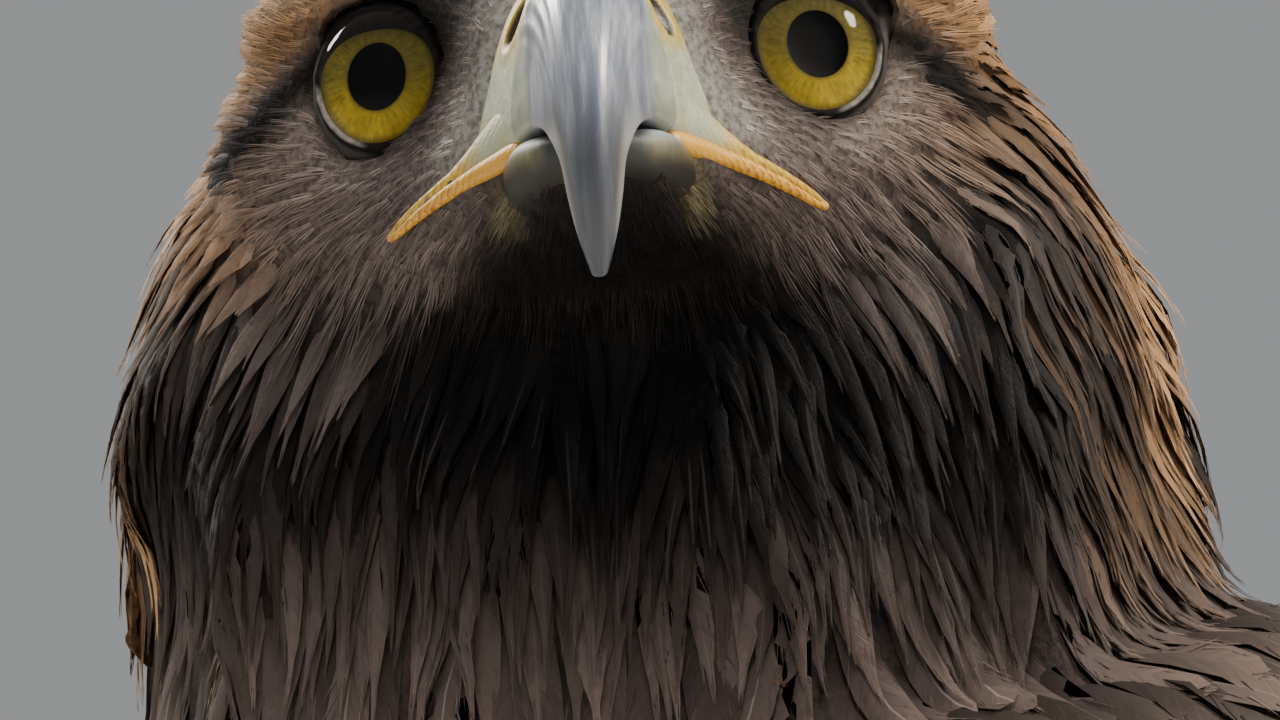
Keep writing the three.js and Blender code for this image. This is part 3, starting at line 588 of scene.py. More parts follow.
# %% Bill stations
# Ridge y and z, cutting edge y and z, half width at the edge.
HORN = [
    (-33.5, 8.9, -33.5, -15.8, 12.9),
    (-40, 7.6, -36.5, -15.2, 11.2),
    (-46.6, 4, -39.5, -15.4, 9.4),
    (-52, -2.2, -42.2, -16.6, 7.8),
    (-55.6, -10, -44.2, -18.8, 6.4),
    (-57, -18, -45.8, -22, 5.1),
    (-56.8, -25.4, -47.6, -26.6, 4.3),
    (-55.2, -32, -49.6, -32, 3.1),
    (-53.2, -38.4, -51.6, -37.4, 1.3),
]
CERE = [
    (-18, 9.6, -18, -19.4, 22.5),
    (-23, 9.9, -23, -18, 19.2),
    (-28.5, 9.8, -28.5, -16.6, 15.8),
    (-33.2, 9.2, -33.2, -15.8, 13.2),
]
LOWER_BILL = [
    (-12, -26, -12, -19.4, 15.8),
    (-20, -26, -20, -18, 15.4),
    (-28, -25.6, -28, -16.6, 14.3),
    (-34.5, -24.4, -34.5, -15.6, 12.3),
    (-39.5, -22.6, -39.5, -16.4, 8.6),
    (-42.8, -20.6, -42.8, -17.6, 4),
]


def power(value, exponent):
    return np.sign(value) * np.abs(value) ** exponent


def bill_arch(rows, roundness, narrowing=0.2, under=0.15, flare=1.0):
    """Points of an arched piece in the head's frame, slimmer at the ridge than at the edge by narrowing."""
    def points(t, angle):
        ridge_y, ridge_z, edge_y, edge_z, width = along_stations(rows, t).T
        high = 0.5 + 0.5 * np.cos(angle)
        corner = np.where(np.cos(angle) < 0, under, roundness)
        x = power(np.sin(angle), corner) * width * (1 - narrowing * high ** flare)
        return np.stack([x, edge_y + (ridge_y - edge_y) * high, edge_z + (ridge_z - edge_z) * high], axis=1)
    return points


def vertex_vectors(piece, name, values):
    made = piece.data.attributes.new(name, "FLOAT_VECTOR", "POINT")
    made.data.foreach_set("vector", np.asarray(values, np.float32).ravel())


def vertex_numbers(piece, name, values):
    made = piece.data.attributes.new(name, "FLOAT", "POINT")
    made.data.foreach_set("value", np.asarray(values, np.float32).ravel())


def head_loft(name, around, along, points):
    piece = loft(name, around, along, lambda t, angle: head_place(points(t, angle)))
    vertex_vectors(piece, "on_head", head_measure(places_of(piece)))
    return piece


def horn_points(t, angle):
    points = bill_arch(HORN, 0.62, 0.4, flare=0.8)(t, angle)
    edge = np.exp(-((np.cos(angle) + 0.25) / 0.35) ** 2)
    festoon = 0.9 * np.exp(-((t - 0.2) / 0.1) ** 2) - 0.5 * np.exp(-((t - 0.42) / 0.1) ** 2)
    points[:, 2] += edge * -festoon
    points[:, 0] *= 1 + 0.02 * np.sin(angle * 23) * np.exp(-((t - 0.25) / 0.3) ** 2) * (np.cos(angle) > 0)
    return points


NOSTRIL_AT = np.array((10.0, -29.4, 1.2))
NOSTRIL_HALF = np.array((4.0, 2.1, 3.2))
NOSTRIL_HOLE = (2.1, 3.1)
NOSTRIL_DEPTH = 1.7
NOSTRIL_SLANT = 0.25


def cere_points(t, angle):
    points = bill_arch(CERE, 0.62, 0.42, flare=0.6)(t, angle)
    away = (np.abs(points[:, 0]) - NOSTRIL_AT[0]) / NOSTRIL_HALF[0]
    slant = points[:, 1] - NOSTRIL_AT[1] + NOSTRIL_SLANT * (points[:, 2] - NOSTRIL_AT[2])
    reach = np.sqrt(away ** 2 * 0.2 + (slant / NOSTRIL_HALF[1]) ** 2
                    + ((points[:, 2] - NOSTRIL_AT[2]) / NOSTRIL_HALF[2]) ** 2)
    pit = np.clip(1 - reach, 0, 1) ** 0.6
    rim = np.exp(-((reach - 1.25) / 0.3) ** 2)
    points[:, 0] -= np.sign(points[:, 0]) * (NOSTRIL_DEPTH * pit - 0.15 * rim)
    points[:, 0] *= 1 + 0.03 * np.sin(t * math.pi)
    return points


horn = head_loft("upper_bill", 96, 110, horn_points)
cere = head_loft("cere_skin", 120, 60, cere_points)
lower_bill = head_loft("lower_bill", 80, 60, bill_arch(LOWER_BILL, 0.5, under=0.3))

# %% [markdown]
# The yellow edges of the gape run back below the eyes, soft and finely wrinkled. The upper one grows out of
# the cere, the lower one out of the lower bill, and both end in a small fold. A colour on the skin would
# give the line, but not its shine and shadow, so each is a rod along a curve, with its wrinkles in the
# mesh.

# %% Gape
LIP_LINE = [
    (9.6, -32.5, -15.3), (15.2, -25, -16.6), (21.4, -17.5, -18.6), (26.6, -10.5, -20.8), (30.4, -4.5, -22.8),
]
LIPS = {"upper": (0.9, 1.0, 2.6), "lower": (-0.95, 1.15, 0.2)}  # shift up, thickness, flare of the root


def lip_points(side, shift, thick, flare):
    line = np.array(LIP_LINE, float)
    line[:, 0] *= side

    def points(t, angle):
        centre = along_stations(line, t)
        ahead = unit(along_stations(line, t + 0.01) - along_stations(line, t - 0.01))
        across = unit(np.cross(ahead, (0, 0, 1)))
        up = np.cross(across, ahead)
        radius = thick * (1.3 - 1.0 * t + 0.3 * np.exp(-((t - 0.97) / 0.04) ** 2))
        radius = radius * np.sqrt(np.clip(1 - (np.abs(t - 0.5) * 1.98) ** 12, 0, 1))
        fold = t * 74 + 9 * np.sin(t * 11) + 1.6 * np.sin(angle)
        radius = radius * (1 + 0.02 * np.sin(fold) * blend(0.15, 0.5, t) + 0.02 * np.sin(t * 31 + 2 * angle))
        wide = flare * (1 - blend(0, 0.5, t))
        off_line = np.abs(shift) * (1 - 0.55 * t) * thick + wide * 0.9 - 0.5 * blend(0.86, 1, t)
        lifted = np.sign(shift) * off_line
        tall = radius * 1.1 + wide
        lean = side * 0.1 * wide * (1 + np.cos(angle))
        return (centre + across * (np.sin(angle) * radius - lean)[:, None]
                + up * (lifted + np.cos(angle) * tall)[:, None])
    return points


lips = {}
for letter, side in SIDES.items():
    for lip, form in LIPS.items():
        lips[f"{lip}_{letter}"] = head_loft(f"gape_{lip}_{letter}", 28, 90, lip_points(side, *form))
print("lips:", list(lips))

# %% [markdown]
# Horn is glossy and layered. On this bill it is slate blue, with pale streaks that run down from the cere,
# made much paler on the top as a painted highlight, a dark tip with light edges, and greenish cream on the
# sides of its root, with painted shade along the mouth line. The nostrils are painted near black as painted
# shade in their pits. A painted image could show this too, but would stretch over the hook. Here all of it is
# worked out from the place on the head and from fine noise drawn out along the hook, so it stays sharp at any
# distance.

# %% Horn, cere and lip finishes
def horn_finish():
    paint = Finish("horn", Roughness=0.34, Coat_Weight=0.25, Coat_Roughness=0.2)
    x, y, z = paint.parts(paint.attribute("on_head", "Vector"))
    streak = paint.noise(paint.join(x * 0.5, y * 0.06, z * 0.06), 1.2, 5.0, 0.55)
    fine = paint.noise(paint.join(x * 2.2, y * 0.3, z * 0.22), 1.2, 4.0, 0.6)
    slate = paint.ramp(streak, [(0.34, (0.14, 0.16, 0.20)), (0.5, (0.21, 0.235, 0.275)),
                                (0.66, (0.36, 0.38, 0.42))])
    # The top of the bill gets far more of the pale streaks: a painted highlight over streaks that run all
    # over it.
    top = z.between(-6, 6)
    slate = paint.mix(fine.between(0.5, 0.75) * (0.12 + top * 0.4), slate, (0.60, 0.61, 0.63))
    slate = paint.mix(fine.between(0.5, 0.3) * 0.22, slate, (0.08, 0.09, 0.11))
    tip = z.between(-8, -24)
    slate = paint.mix(tip * 0.85, slate, (0.036, 0.038, 0.042))
    cloud = paint.noise(paint.join(x, y, z), 0.35, 4.0)
    cream = paint.ramp(cloud, [(0.3, (0.24, 0.26, 0.20)), (0.7, (0.38, 0.40, 0.31))])
    side = x.size().between(7.6, 9.2) * y.between(-50, -44)
    # Darker olive on the cream towards the mouth line: painted shade.
    cream = paint.mix(z.between(-9, -15) * 0.55, cream, (0.16, 0.15, 0.085))
    colour = paint.mix(side, slate, cream)
    edge = (x.size() - z * 0.133).between(6.4, 7.4) * z.between(-13, -19)
    colour = paint.mix(edge * 0.6, colour, (0.42, 0.42, 0.40))
    paint.set(Base_Color=colour, Roughness=0.26 + streak * 0.22)
    paint.bump(fine + streak * 2.0, 0.25, 0.0004)
    return paint.material


def cere_finish():
    paint = Finish("cere", Roughness=0.4, Subsurface_Weight=0.12, Subsurface_Scale=0.002)
    x, y, z = paint.parts(paint.attribute("on_head", "Vector"))
    spots = paint.noise(paint.join(x, y, z), 0.7, 5.0, 0.6)
    yellow = paint.ramp(spots, [(0.3, (0.33, 0.22, 0.012)), (0.7, (0.52, 0.37, 0.035))])
    cream = paint.ramp(spots, [(0.3, (0.26, 0.28, 0.19)), (0.7, (0.40, 0.42, 0.30))])
    colour = paint.mix(z.between(-0.5, -5.5), yellow, cream)
    colour = paint.mix(z.between(-9, -15) * (y * -1).between(34, 24), colour, yellow)
    # The nostril opening is painted near black: painted shade inside its pit.
    hole_y = y - NOSTRIL_AT[1] + (z - NOSTRIL_AT[2]) * NOSTRIL_SLANT
    wide, tall = hole_y / NOSTRIL_HOLE[0], (z - NOSTRIL_AT[2]) / NOSTRIL_HOLE[1]
    nostril_shade = (wide ** 2.0 + tall ** 2.0).between(1.15, 0.75)
    colour = paint.mix(nostril_shade, colour, (0.02, 0.012, 0.008))
    paint.set(Base_Color=colour, Roughness=0.34 + spots * 0.2)
    paint.bump(spots, 0.3, 0.0003)
    return paint.material


def lip_finish(name, dark, bright, root):
    paint = Finish(name, Roughness=0.4, Subsurface_Weight=0.15, Subsurface_Scale=0.002)
    x, y, z = paint.parts(paint.attribute("on_head", "Vector"))
    spots = paint.noise(paint.join(x, y, z), 0.9, 5.0, 0.6)
    wrinkle = (x.size() * 5.2 + z * 4.2 + y * 1.5 + spots * 14).wave() * 0.5 + 0.5
    colour = paint.ramp(wrinkle * 0.25 + spots * 0.75, [(0.3, dark), (0.6, bright)])
    colour = paint.mix(y.between(-20, -27), colour, root)
    colour = paint.mix(y.between(-9, -2) * 0.6, colour, (0.30, 0.17, 0.05))
    paint.set(Base_Color=colour)
    paint.bump(wrinkle * 0.5 + spots, 0.3, 0.0003)
    return paint.material


def lower_bill_finish():
    paint = Finish("lower_horn", Roughness=0.5, Specular_IOR_Level=0.3)
    x, y, z = paint.parts(paint.attribute("on_head", "Vector"))
    spots = paint.noise(paint.join(x, y, z * 0.4), 0.35, 5.0, 0.6)
    olive = paint.ramp(spots, [(0.3, (0.095, 0.090, 0.048)), (0.7, (0.20, 0.19, 0.115))])
    pale = paint.ramp(spots, [(0.3, (0.22, 0.25, 0.25)), (0.7, (0.34, 0.37, 0.37))])
    colour = paint.mix(z.between(-18.2, -16.2), olive, pale)
    colour = paint.mix(x.size().between(8.5, 6.0) * 0.85, colour, (0.035, 0.04, 0.046))
    colour = paint.mix(x.size().between(10.5, 12.5) * z.between(-16.5, -19) * 0.7, colour, (0.15, 0.10, 0.03))
    colour = paint.mix((z - (x.size() - 7) * 0.22).between(-18.2, -22.3), colour, (0.012, 0.009, 0.006))
    paint.set(Base_Color=colour)
    paint.bump(spots, 0.2, 0.0003)
    return paint.material


horn_paint = horn_finish()
finish_piece(horn, horn_paint, ["upper_beak"])
finish_piece(cere, cere_finish(), ["cere"])
finish_piece(lower_bill, lower_bill_finish(), ["lower_beak"])
yellow_lip = lip_finish("yellow_lip", (0.34, 0.19, 0.008), (0.62, 0.39, 0.022), (0.35, 0.36, 0.24))
orange_lip = lip_finish("orange_lip", (0.34, 0.13, 0.004), (0.72, 0.36, 0.018), (0.60, 0.30, 0.02))
for name, lip in lips.items():
    finish_piece(lip, yellow_lip if name.startswith("upper") else orange_lip)

# %% [markdown]
# An eye is two pieces: a ball with a sunk iris and a black pupil, and a clear cornea over it. Real
# refraction would be slow and hard to export, so the cornea only adds the wet reflections. Both are turned
# shapes on the line that the eye looks along. How far each point is from that line is stored, so that the
# iris can have its fibres and rings.

# %% Eyes
EYE_SHIFT = 1.3
IRIS_RADIUS, PUPIL_RADIUS = 9.3, 4.7
EYE_PROFILE = [  # along the line of sight, and out from it
    (-12.5, 0.0), (-12.1, 3.1), (-10.8, 6.3), (-8.2, 9.4), (-4.6, 11.6), (0, 12.5), (4.4, 11.8), (7.0, 10.6),
    (8.2, 9.7), (8.3, 9.3), (8.15, 8.4), (8.3, 6.8), (8.45, 5.2), (8.4, 4.7), (7.9, 4.5), (7.5, 2.6),
    (7.4, 0.0),
]
CORNEA_PROFILE = [
    (6.3, 0.0), (6.4, 5.4), (6.9, 9.7), (8.4, 9.75), (10.2, 8.4), (11.8, 6.2), (12.9, 3.2), (13.2, 0.0),
]


def eye_axes(side):
    outward = math.radians(EYE_OUTWARD)
    look = np.array((side * math.sin(outward), -math.cos(outward), 0))
    across = np.array((-look[1], look[0], 0))
    centre = np.array((side * (EYE_HALF_SPAN + EYE_SHIFT), EYE_SET_BACK, EYE_SET_UP))
    return centre, look, across, np.array((0, 0, 1.0))


def remember_eye(piece, side):
    """Stores where each point is, seen along the line of sight: outwards, up and ahead."""
    centre, look, across, up = eye_axes(side)
    offset = head_measure(places_of(piece)) - centre
    vertex_vectors(piece, "on_eye", np.stack([offset @ across * side, offset @ up, offset @ look], axis=1))


def turned(name, side, profile, around, along):
    centre, look, across, up = eye_axes(side)

    def points(t, angle):
        ahead, out = along_stations(profile, t).T
        out = np.maximum(out, 0)
        return (centre + look * ahead[:, None] + across * (np.sin(angle) * out)[:, None]
                + up * (np.cos(angle) * out)[:, None])

    piece = head_loft(name, around, along, points)
    remember_eye(piece, side)
    return piece


def iris_finish():
    paint = Finish("iris", Roughness=0.6, Specular_IOR_Level=0.05)
    x, z, _ = paint.parts(paint.attribute("on_eye", "Vector"))
    out = (x * x + z * z) ** 0.5
    angle = paint.node("ShaderNodeMath", {"operation": "ARCTAN2"}, {0: z, 1: x})
    fibre = paint.noise(paint.join(angle.wave() * 9, (angle + 1.57).wave() * 9, out * 0.5), 1.6, 4.0, 0.65)
    cloud = paint.noise(paint.join(x, z, 0.0), 0.28, 3.0)
    ochre = paint.ramp(fibre * 0.55 + cloud * 0.45,
                       [(0.32, (0.13, 0.09, 0.005)), (0.5, (0.25, 0.175, 0.008)), (0.68, (0.38, 0.28, 0.02))])
    olive = paint.ramp(fibre, [(0.3, (0.05, 0.042, 0.008)), (0.7, (0.13, 0.108, 0.02))])
    # The top of the iris is painted olive, and darker still at its very top: painted shade from the brow. Its
    # inner side, towards the bill, is painted dark too: painted shade.
    colour = paint.mix(z.between(-6.0, 2.0) * 0.95, ochre, olive)
    colour = paint.mix(x.between(1.0, -8.0) * 0.55, colour, (0.03, 0.025, 0.008))
    colour = paint.mix(z.between(2.5, 7.5) * 0.7, colour, (0.014, 0.012, 0.006))
    colour = paint.mix(out.between(IRIS_RADIUS - 1.3, IRIS_RADIUS - 0.1) * 0.75, colour, (0.03, 0.022, 0.006))
    halo = out.between(PUPIL_RADIUS + 0.75, PUPIL_RADIUS + 0.1)
    colour = paint.mix(halo * 0.6, colour, (0.05, 0.035, 0.01))
    colour = paint.mix(out.between(PUPIL_RADIUS + 0.18, PUPIL_RADIUS - 0.05), colour, (0.002, 0.002, 0.002))
    colour = paint.mix(out.between(IRIS_RADIUS - 0.15, IRIS_RADIUS + 0.15), colour, (0.006, 0.005, 0.005))
    paint.set(Base_Color=colour)
    paint.bump(fibre * out.between(PUPIL_RADIUS + 0.3, PUPIL_RADIUS + 0.9), 0.3, 0.0003)
    return paint.material


def cornea_finish():
    paint = Finish("cornea", Roughness=0.02, Base_Color=(1, 1, 1), Metallic=1.0)
    gloss = paint.node("ShaderNodeFresnel", None, {"IOR": 1.35})
    paint.set(Alpha=gloss.least(0.09) * 0.3)
    return paint.material


iris_paint, cornea_paint = iris_finish(), cornea_finish()
for letter, side in SIDES.items():
    ball = turned(f"eyeball_{letter}", side, EYE_PROFILE, 72, 96)
    finish_piece(ball, iris_paint, [f"eye_{letter}"])
    cornea = turned(f"cornea_{letter}", side, CORNEA_PROFILE, 64, 48)
    finish_piece(cornea, cornea_paint)

# %% [markdown]
# The lids are one soft ring round each eye: a thin wet rim on the ball, a round fold, then a skirt that
# runs under the feathers of the face. A torus would give the rim, but not the way it melts into the face.
# So rings of points are set on the eye's own axes, and the outer rings follow the skin.

# %% Lids
LID_RINGS = [  # out from the line of sight, along it
    (9.1, 7.7), (9.25, 8.3), (9.5, 8.65), (9.9, 8.7), (10.4, 8.3), (10.9, 7.6), (11.5, 6.7),
]
LID_SKIRT = [12.6, 14.0, 15.5]
LID_TOP_CUT = 3.0
LID_THICKNESS = 1.2
LIDS_AROUND = 96


def lids(letter, side):
    centre, look, across, up = eye_axes(side)
    angles = np.arange(LIDS_AROUND) / LIDS_AROUND * 2 * math.pi
    ring_direction = across * np.sin(angles)[:, None] + up * np.cos(angles)[:, None]
    top = np.clip(np.cos(angles), 0, 1) ** 2
    fold = 0.12 * np.sin(angles * 17) + 0.08 * np.sin(angles * 31 + 1)
    rings = []
    for k, (out, ahead) in enumerate(LID_RINGS):
        wobble = fold * blend(1, 4, k)
        reach = out - LID_TOP_CUT * top * (1 - k / 10)
        forward = ahead + 1.0 * top * blend(1, 5, k) + wobble
        forward = np.broadcast_to(forward, angles.shape)
        rings.append(centre + ring_direction * reach[:, None] + look * forward[:, None])
    for k, out in enumerate(LID_SKIRT):
        far = head_place(centre + ring_direction * out + look * 6.0)
        on_skin = [skin_tree.find_nearest(Vector(p))[:2] for p in far]
        below = -0.5 - 0.9 * k
        rings.append(head_measure([p + n * below * MM for p, n in on_skin]))
    outer = np.array(rings)
    shell = np.concatenate([outer, outer[::-1] - look * LID_THICKNESS])
    count = len(shell)
    points = shell.reshape(-1, 3)
    faces = [(i * LIDS_AROUND + j, i * LIDS_AROUND + (j + 1) % LIDS_AROUND,
              (i + 1) % count * LIDS_AROUND + (j + 1) % LIDS_AROUND, (i + 1) % count * LIDS_AROUND + j)
             for i in range(count) for j in range(LIDS_AROUND)]
    mesh = bpy.data.meshes.new(f"lids_{letter}")
    mesh.from_pydata(head_place(points).tolist(), [], faces)
    piece = bpy.data.objects.new(f"lids_{letter}", mesh)
    bpy.context.scene.collection.objects.link(piece)
    edit(piece, lambda: bpy.ops.mesh.normals_make_consistent(inside=False))
    apply_modifier(piece, "SUBSURF", levels=1, render_levels=1)
    pick(piece)
    bpy.ops.object.shade_smooth()
    remember_eye(piece, side)
    return piece


def lid_finish():
    paint = Finish("lid_skin", Roughness=0.8, Specular_IOR_Level=0.06)
    x, z, forward = paint.parts(paint.attribute("on_eye", "Vector"))
    out = (x * x + z * z) ** 0.5
    spots = paint.noise(paint.join(x, z, forward), 0.8, 4.0, 0.6)
    dark = paint.ramp(spots, [(0.3, (0.004, 0.0035, 0.003)), (0.7, (0.014, 0.012, 0.011))])
    # The pale rim towards the outer lower corner is a painted highlight: the wet glint of the lid's edge.
    pale = paint.ramp(spots, [(0.3, (0.13, 0.115, 0.10)), (0.7, (0.28, 0.25, 0.22))])
    towards_corner = x * 0.8 - z * 0.6
    rim = out.between(8.8, 9.1) * out.between(10.2, 9.7) * towards_corner.between(7.2, 9.0)
    fold = out.between(10.4, 11.2) * out.between(14.0, 11.5) * towards_corner.between(5.0, 8.5)
    colour = paint.mix(fold * 0.5, dark, (0.10, 0.085, 0.075))
    colour = paint.mix(rim, colour, pale)
    paint.set(Base_Color=colour, Roughness=0.75 - rim * 0.5)
    paint.bump(spots, 0.3, 0.0003)
    return paint.material


lid_paint = lid_finish()
for letter, side in SIDES.items():
    finish_piece(lids(letter, side), lid_paint)

# %% [markdown]
# An eagle's toes carry a row of overlapping plates on top and pads below, and end in curved claws. Plates
# drawn as a bump map would leave a smooth outline, so the toes are lofts with the plates in their shape.
# The four toes and the ball of the foot are remeshed into one skin with flat soles, and the claws grow out
# of the last plates.

# %% Feet
FOOT, SOLE = np.array((58, 62, 0.0)), 1.2
TOES = {  # direction from straight ahead in degrees, outwards positive, length, thickness, length of claw
    "inner": (-34, 45, 9.2, 40),
    "middle": (4, 64, 8.8, 33),
    "outer": (44, 50, 8.2, 28),
    "hind": (172, 38, 9.6, 46),
}
PLATE = 5.2
FOOT_VOXEL = 0.75
BALL_HALF, BALL_HEIGHT = (14.5, 15.5, 10.8), 12.4
CLAW_CURVE = [  # share of the claw's reach ahead, and how far it rises or falls
    (-0.05, -0.03), (0.16, 0.09), (0.36, 0.12), (0.55, 0.07), (0.74, -0.06), (0.93, -0.28)]
CLAW_REACH = 0.74


def toe_line(side, toe):
    direction, length, thick, claw = TOES[toe]
    heading = np.array((side * math.sin(math.radians(direction)), -math.cos(math.radians(direction)), 0))
    return FOOT * (side, 1, 1), heading, np.array((-heading[1], heading[0], 0)), length, thick, claw


def toe_points(side, toe):
    foot, heading, across, length, thick, _ = toe_line(side, toe)

    def place(t, angle):
        along = 0.1 + 0.95 * t
        pads = 1 + 0.1 * np.cos(6 * math.pi * t)
        rounded = np.sqrt(np.clip(1 - (0.86 * t) ** 6, 0, 1))
        size = thick * (1 - 0.26 * t) * pads * rounded * (1 - 0.55 * blend(0.93, 1, t))
        plate = (along * length / PLATE) % 1
        high = np.clip(np.cos(angle), 0, 1)
        plates = (1.0 * plate ** 0.7 - 0.35) * blend(0.15, 0.75, high) * blend(0.25, 0.4, t)
        centre_z = SOLE + 0.84 * size + 4 * np.clip(1 - 2 * t, 0, 1) ** 2
        z = centre_z + np.cos(angle) * size * 1.04 + plates
        points = foot + heading * (along * length)[:, None] + across * (np.sin(angle) * size * 0.95)[:, None]
        points[:, 2] = SOLE + np.log1p(np.exp((z - SOLE) / 0.35)) * 0.35 - 0.1
        return (points - CENTRED) * MM
    return place


def foot_skin(letter, side):
    toes = [loft(f"toe_{letter}_{toe}", 40, 90, toe_points(side, toe)) for toe in TOES]
    bpy.ops.object.select_all(action="DESELECT")
    bpy.ops.mesh.primitive_uv_sphere_add(segments=40, ring_count=24, radius=1)
    ball = bpy.context.active_object
    places = places_of(ball) * BALL_HALF + FOOT * (side, 1, 1) + (0, 0, BALL_HEIGHT)
    set_places(ball, (places - CENTRED) * MM)
    pick(toes[0], ball, *toes[1:])
    bpy.ops.object.join()
    piece = bpy.context.active_object
    piece.name = piece.data.name = f"foot_{letter}_skin"
    apply_modifier(piece, "REMESH", mode="VOXEL", voxel_size=FOOT_VOXEL * MM, adaptivity=0)
    even_out(piece, 3)
    pick(piece)
    bpy.ops.object.shade_smooth()
    return piece


def talon(letter, side, toe):
    foot, heading, _, length, thick, reach = toe_line(side, toe)
    reach = reach * CLAW_REACH
    stations = np.array([foot + heading * (0.9 * length + along * reach)
                         + (0, 0, SOLE + thick * (0.66 + rise * 2.2)) for along, rise in CLAW_CURVE])
    stations[-1, 2] = max(stations[-1, 2], SOLE + 0.9)

    def place(t, angle):
        centre = along_stations(stations, t)
        ahead = unit(along_stations(stations, t + 0.02) - along_stations(stations, t - 0.02))
        across = unit(np.cross(ahead, (0, 0, 1)))
        radius = (thick * 0.5 * (1 - t ** 1.25) + 0.35)[:, None]
        groove = 1 - 0.06 * np.exp(-((np.abs(np.sin(angle)) - 0.95) / 0.06) ** 2)[:, None]
        points = (centre + across * np.sin(angle)[:, None] * radius * 0.92 * groove
                  + np.cross(across, ahead) * np.cos(angle)[:, None] * radius * 1.15)
        return (points - CENTRED) * MM
    return loft(f"talon_{letter}_{toe}", 28, 56, place)


def toe_finish():
    paint = Finish("toe_skin", Roughness=0.5, Specular_IOR_Level=0.35, Subsurface_Weight=0.08,
                   Subsurface_Scale=0.002)
    place = paint.place()
    scales = paint.node("ShaderNodeTexVoronoi", {"feature": "DISTANCE_TO_EDGE"},
                        {"Vector": place, "Scale": 620.0})
    spots = paint.noise(place, 160.0, 4.0, 0.6)
    colour = paint.ramp(spots, [(0.3, (0.46, 0.27, 0.025)), (0.55, (0.62, 0.41, 0.055)),
                                (0.75, (0.70, 0.52, 0.13))])
    colour = paint.mix(scales.between(0.16, 0.02) * 0.6, colour, (0.22, 0.12, 0.02))
    _, _, z = paint.parts(place)
    colour = paint.mix(z.between(0.006, 0.001) * 0.6, colour, (0.20, 0.13, 0.05))
    paint.set(Base_Color=colour, Roughness=0.42 + spots * 0.2)
    paint.bump(scales.between(0.0, 0.2), 0.5, 0.0005)
    return paint.material


def claw_finish():
    paint = Finish("claw", Roughness=0.3, Coat_Weight=0.3, Coat_Roughness=0.15)
    streak = paint.noise(paint.place(), 260.0, 4.0, 0.6)
    paint.set(Base_Color=paint.ramp(streak, [(0.3, (0.006, 0.006, 0.007)), (0.7, (0.026, 0.024, 0.025))]),
              Roughness=0.24 + streak * 0.2)
    paint.bump(streak, 0.15, 0.0003)
    return paint.material


toe_paint, claw_paint = toe_finish(), claw_finish()
for letter, side in SIDES.items():
    finish_piece(foot_skin(letter, side), toe_paint, [f"foot_{letter}"])
    for toe in TOES:
        finish_piece(talon(letter, side, toe), claw_paint, [f"claw_{letter}_{toe}"])

# %% [markdown]
# The coat lies in a direction that runs from bill to tail. On the head it goes back from the bill, up over
# the crown, down over the throat and round the eyes; on the neck and body it goes down and back. It could
# be combed by hand with a brush, but a rule for each region, softened where two meet, gives every feather
# its direction.

# %% Lie of the coat
def tangent(vectors, to):
    return unit(vectors - to * (vectors * to).sum(axis=-1, keepdims=True))


def mixed(first, second, share):
    share = np.asarray(share)[..., None]
    return np.asarray(first) * (1 - share) + np.asarray(second) * share


def eye_reach(points):
    """How far points of the head are from the nearer eye's line of sight, and the way out from it."""
    best, outward = np.full(len(points), 1e3), np.zeros_like(points)
    for side in SIDES.values():
        centre, look, _, _ = eye_axes(side)
        offset = points - centre
        radial = offset - (offset @ look)[:, None] * look
        reach = np.linalg.norm(radial, axis=1) + 6 * ((offset @ look) < -6)
        nearer = reach < best
        best[nearer], outward[nearer] = reach[nearer], unit(radial)[nearer]
    return best, outward


x, y, z = on_head.T
reach, outward = eye_reach(on_head)
low = blend(6, -12, z)
chin = np.maximum(blend(-12, -28, z), blend(12, 6, np.abs(x)) * blend(-14, -20, z))
to_side = np.tanh(x / 9) * (0.55 + 0.75 * low - 0.9 * chin)
head_flow = unit(np.stack([to_side, np.ones_like(x), 0.45 - 0.62 * low - 0.55 * chin], axis=1))
towards_eye = np.minimum((head_flow * outward).sum(axis=1), 0) * blend(30, 13, reach)
head_flow = unit(head_flow - outward * towards_eye[:, None]) @ HEAD_AXES.T
FLOWS = np.array([  # head, neck, torso, wing, thigh, shank
    (0, 0, 0), (0, 0.15, -1), (0, 0.57, -0.82), (0, 0.66, -0.75), (0, 0.1, -1), (0, 0, -1)])
flow = FLOWS[region] + head_flow * (region == HEAD)[:, None]
flow = tangent(soften(flow, edges, 24), normals)
share_of = soften(np.eye(REGIONS)[region], edges, 10)
print("lie of the coat on", len(flow), "points")

# %% [markdown]
# The same markings colour the skin and the feathers: a golden nape and sides of the neck, a dark breast,
# mauve brown cheeks, grey lores, tawny legs. Painted shade goes in with them: a near-black band under the
# brow, shade above and on the inner side of each eye, a dark ring round the eyes, and a throat painted near
# black, dark feathers with painted shade over them. An image wrapped round the bird would smear each colour
# over several feathers. Functions of the place on the head and of the way the surface faces give every
# feather one colour of its own, and a paler tip.

# %% Markings and painted shade
FRONT = np.array((math.sin(math.radians(26)), -math.cos(math.radians(26)), 0))


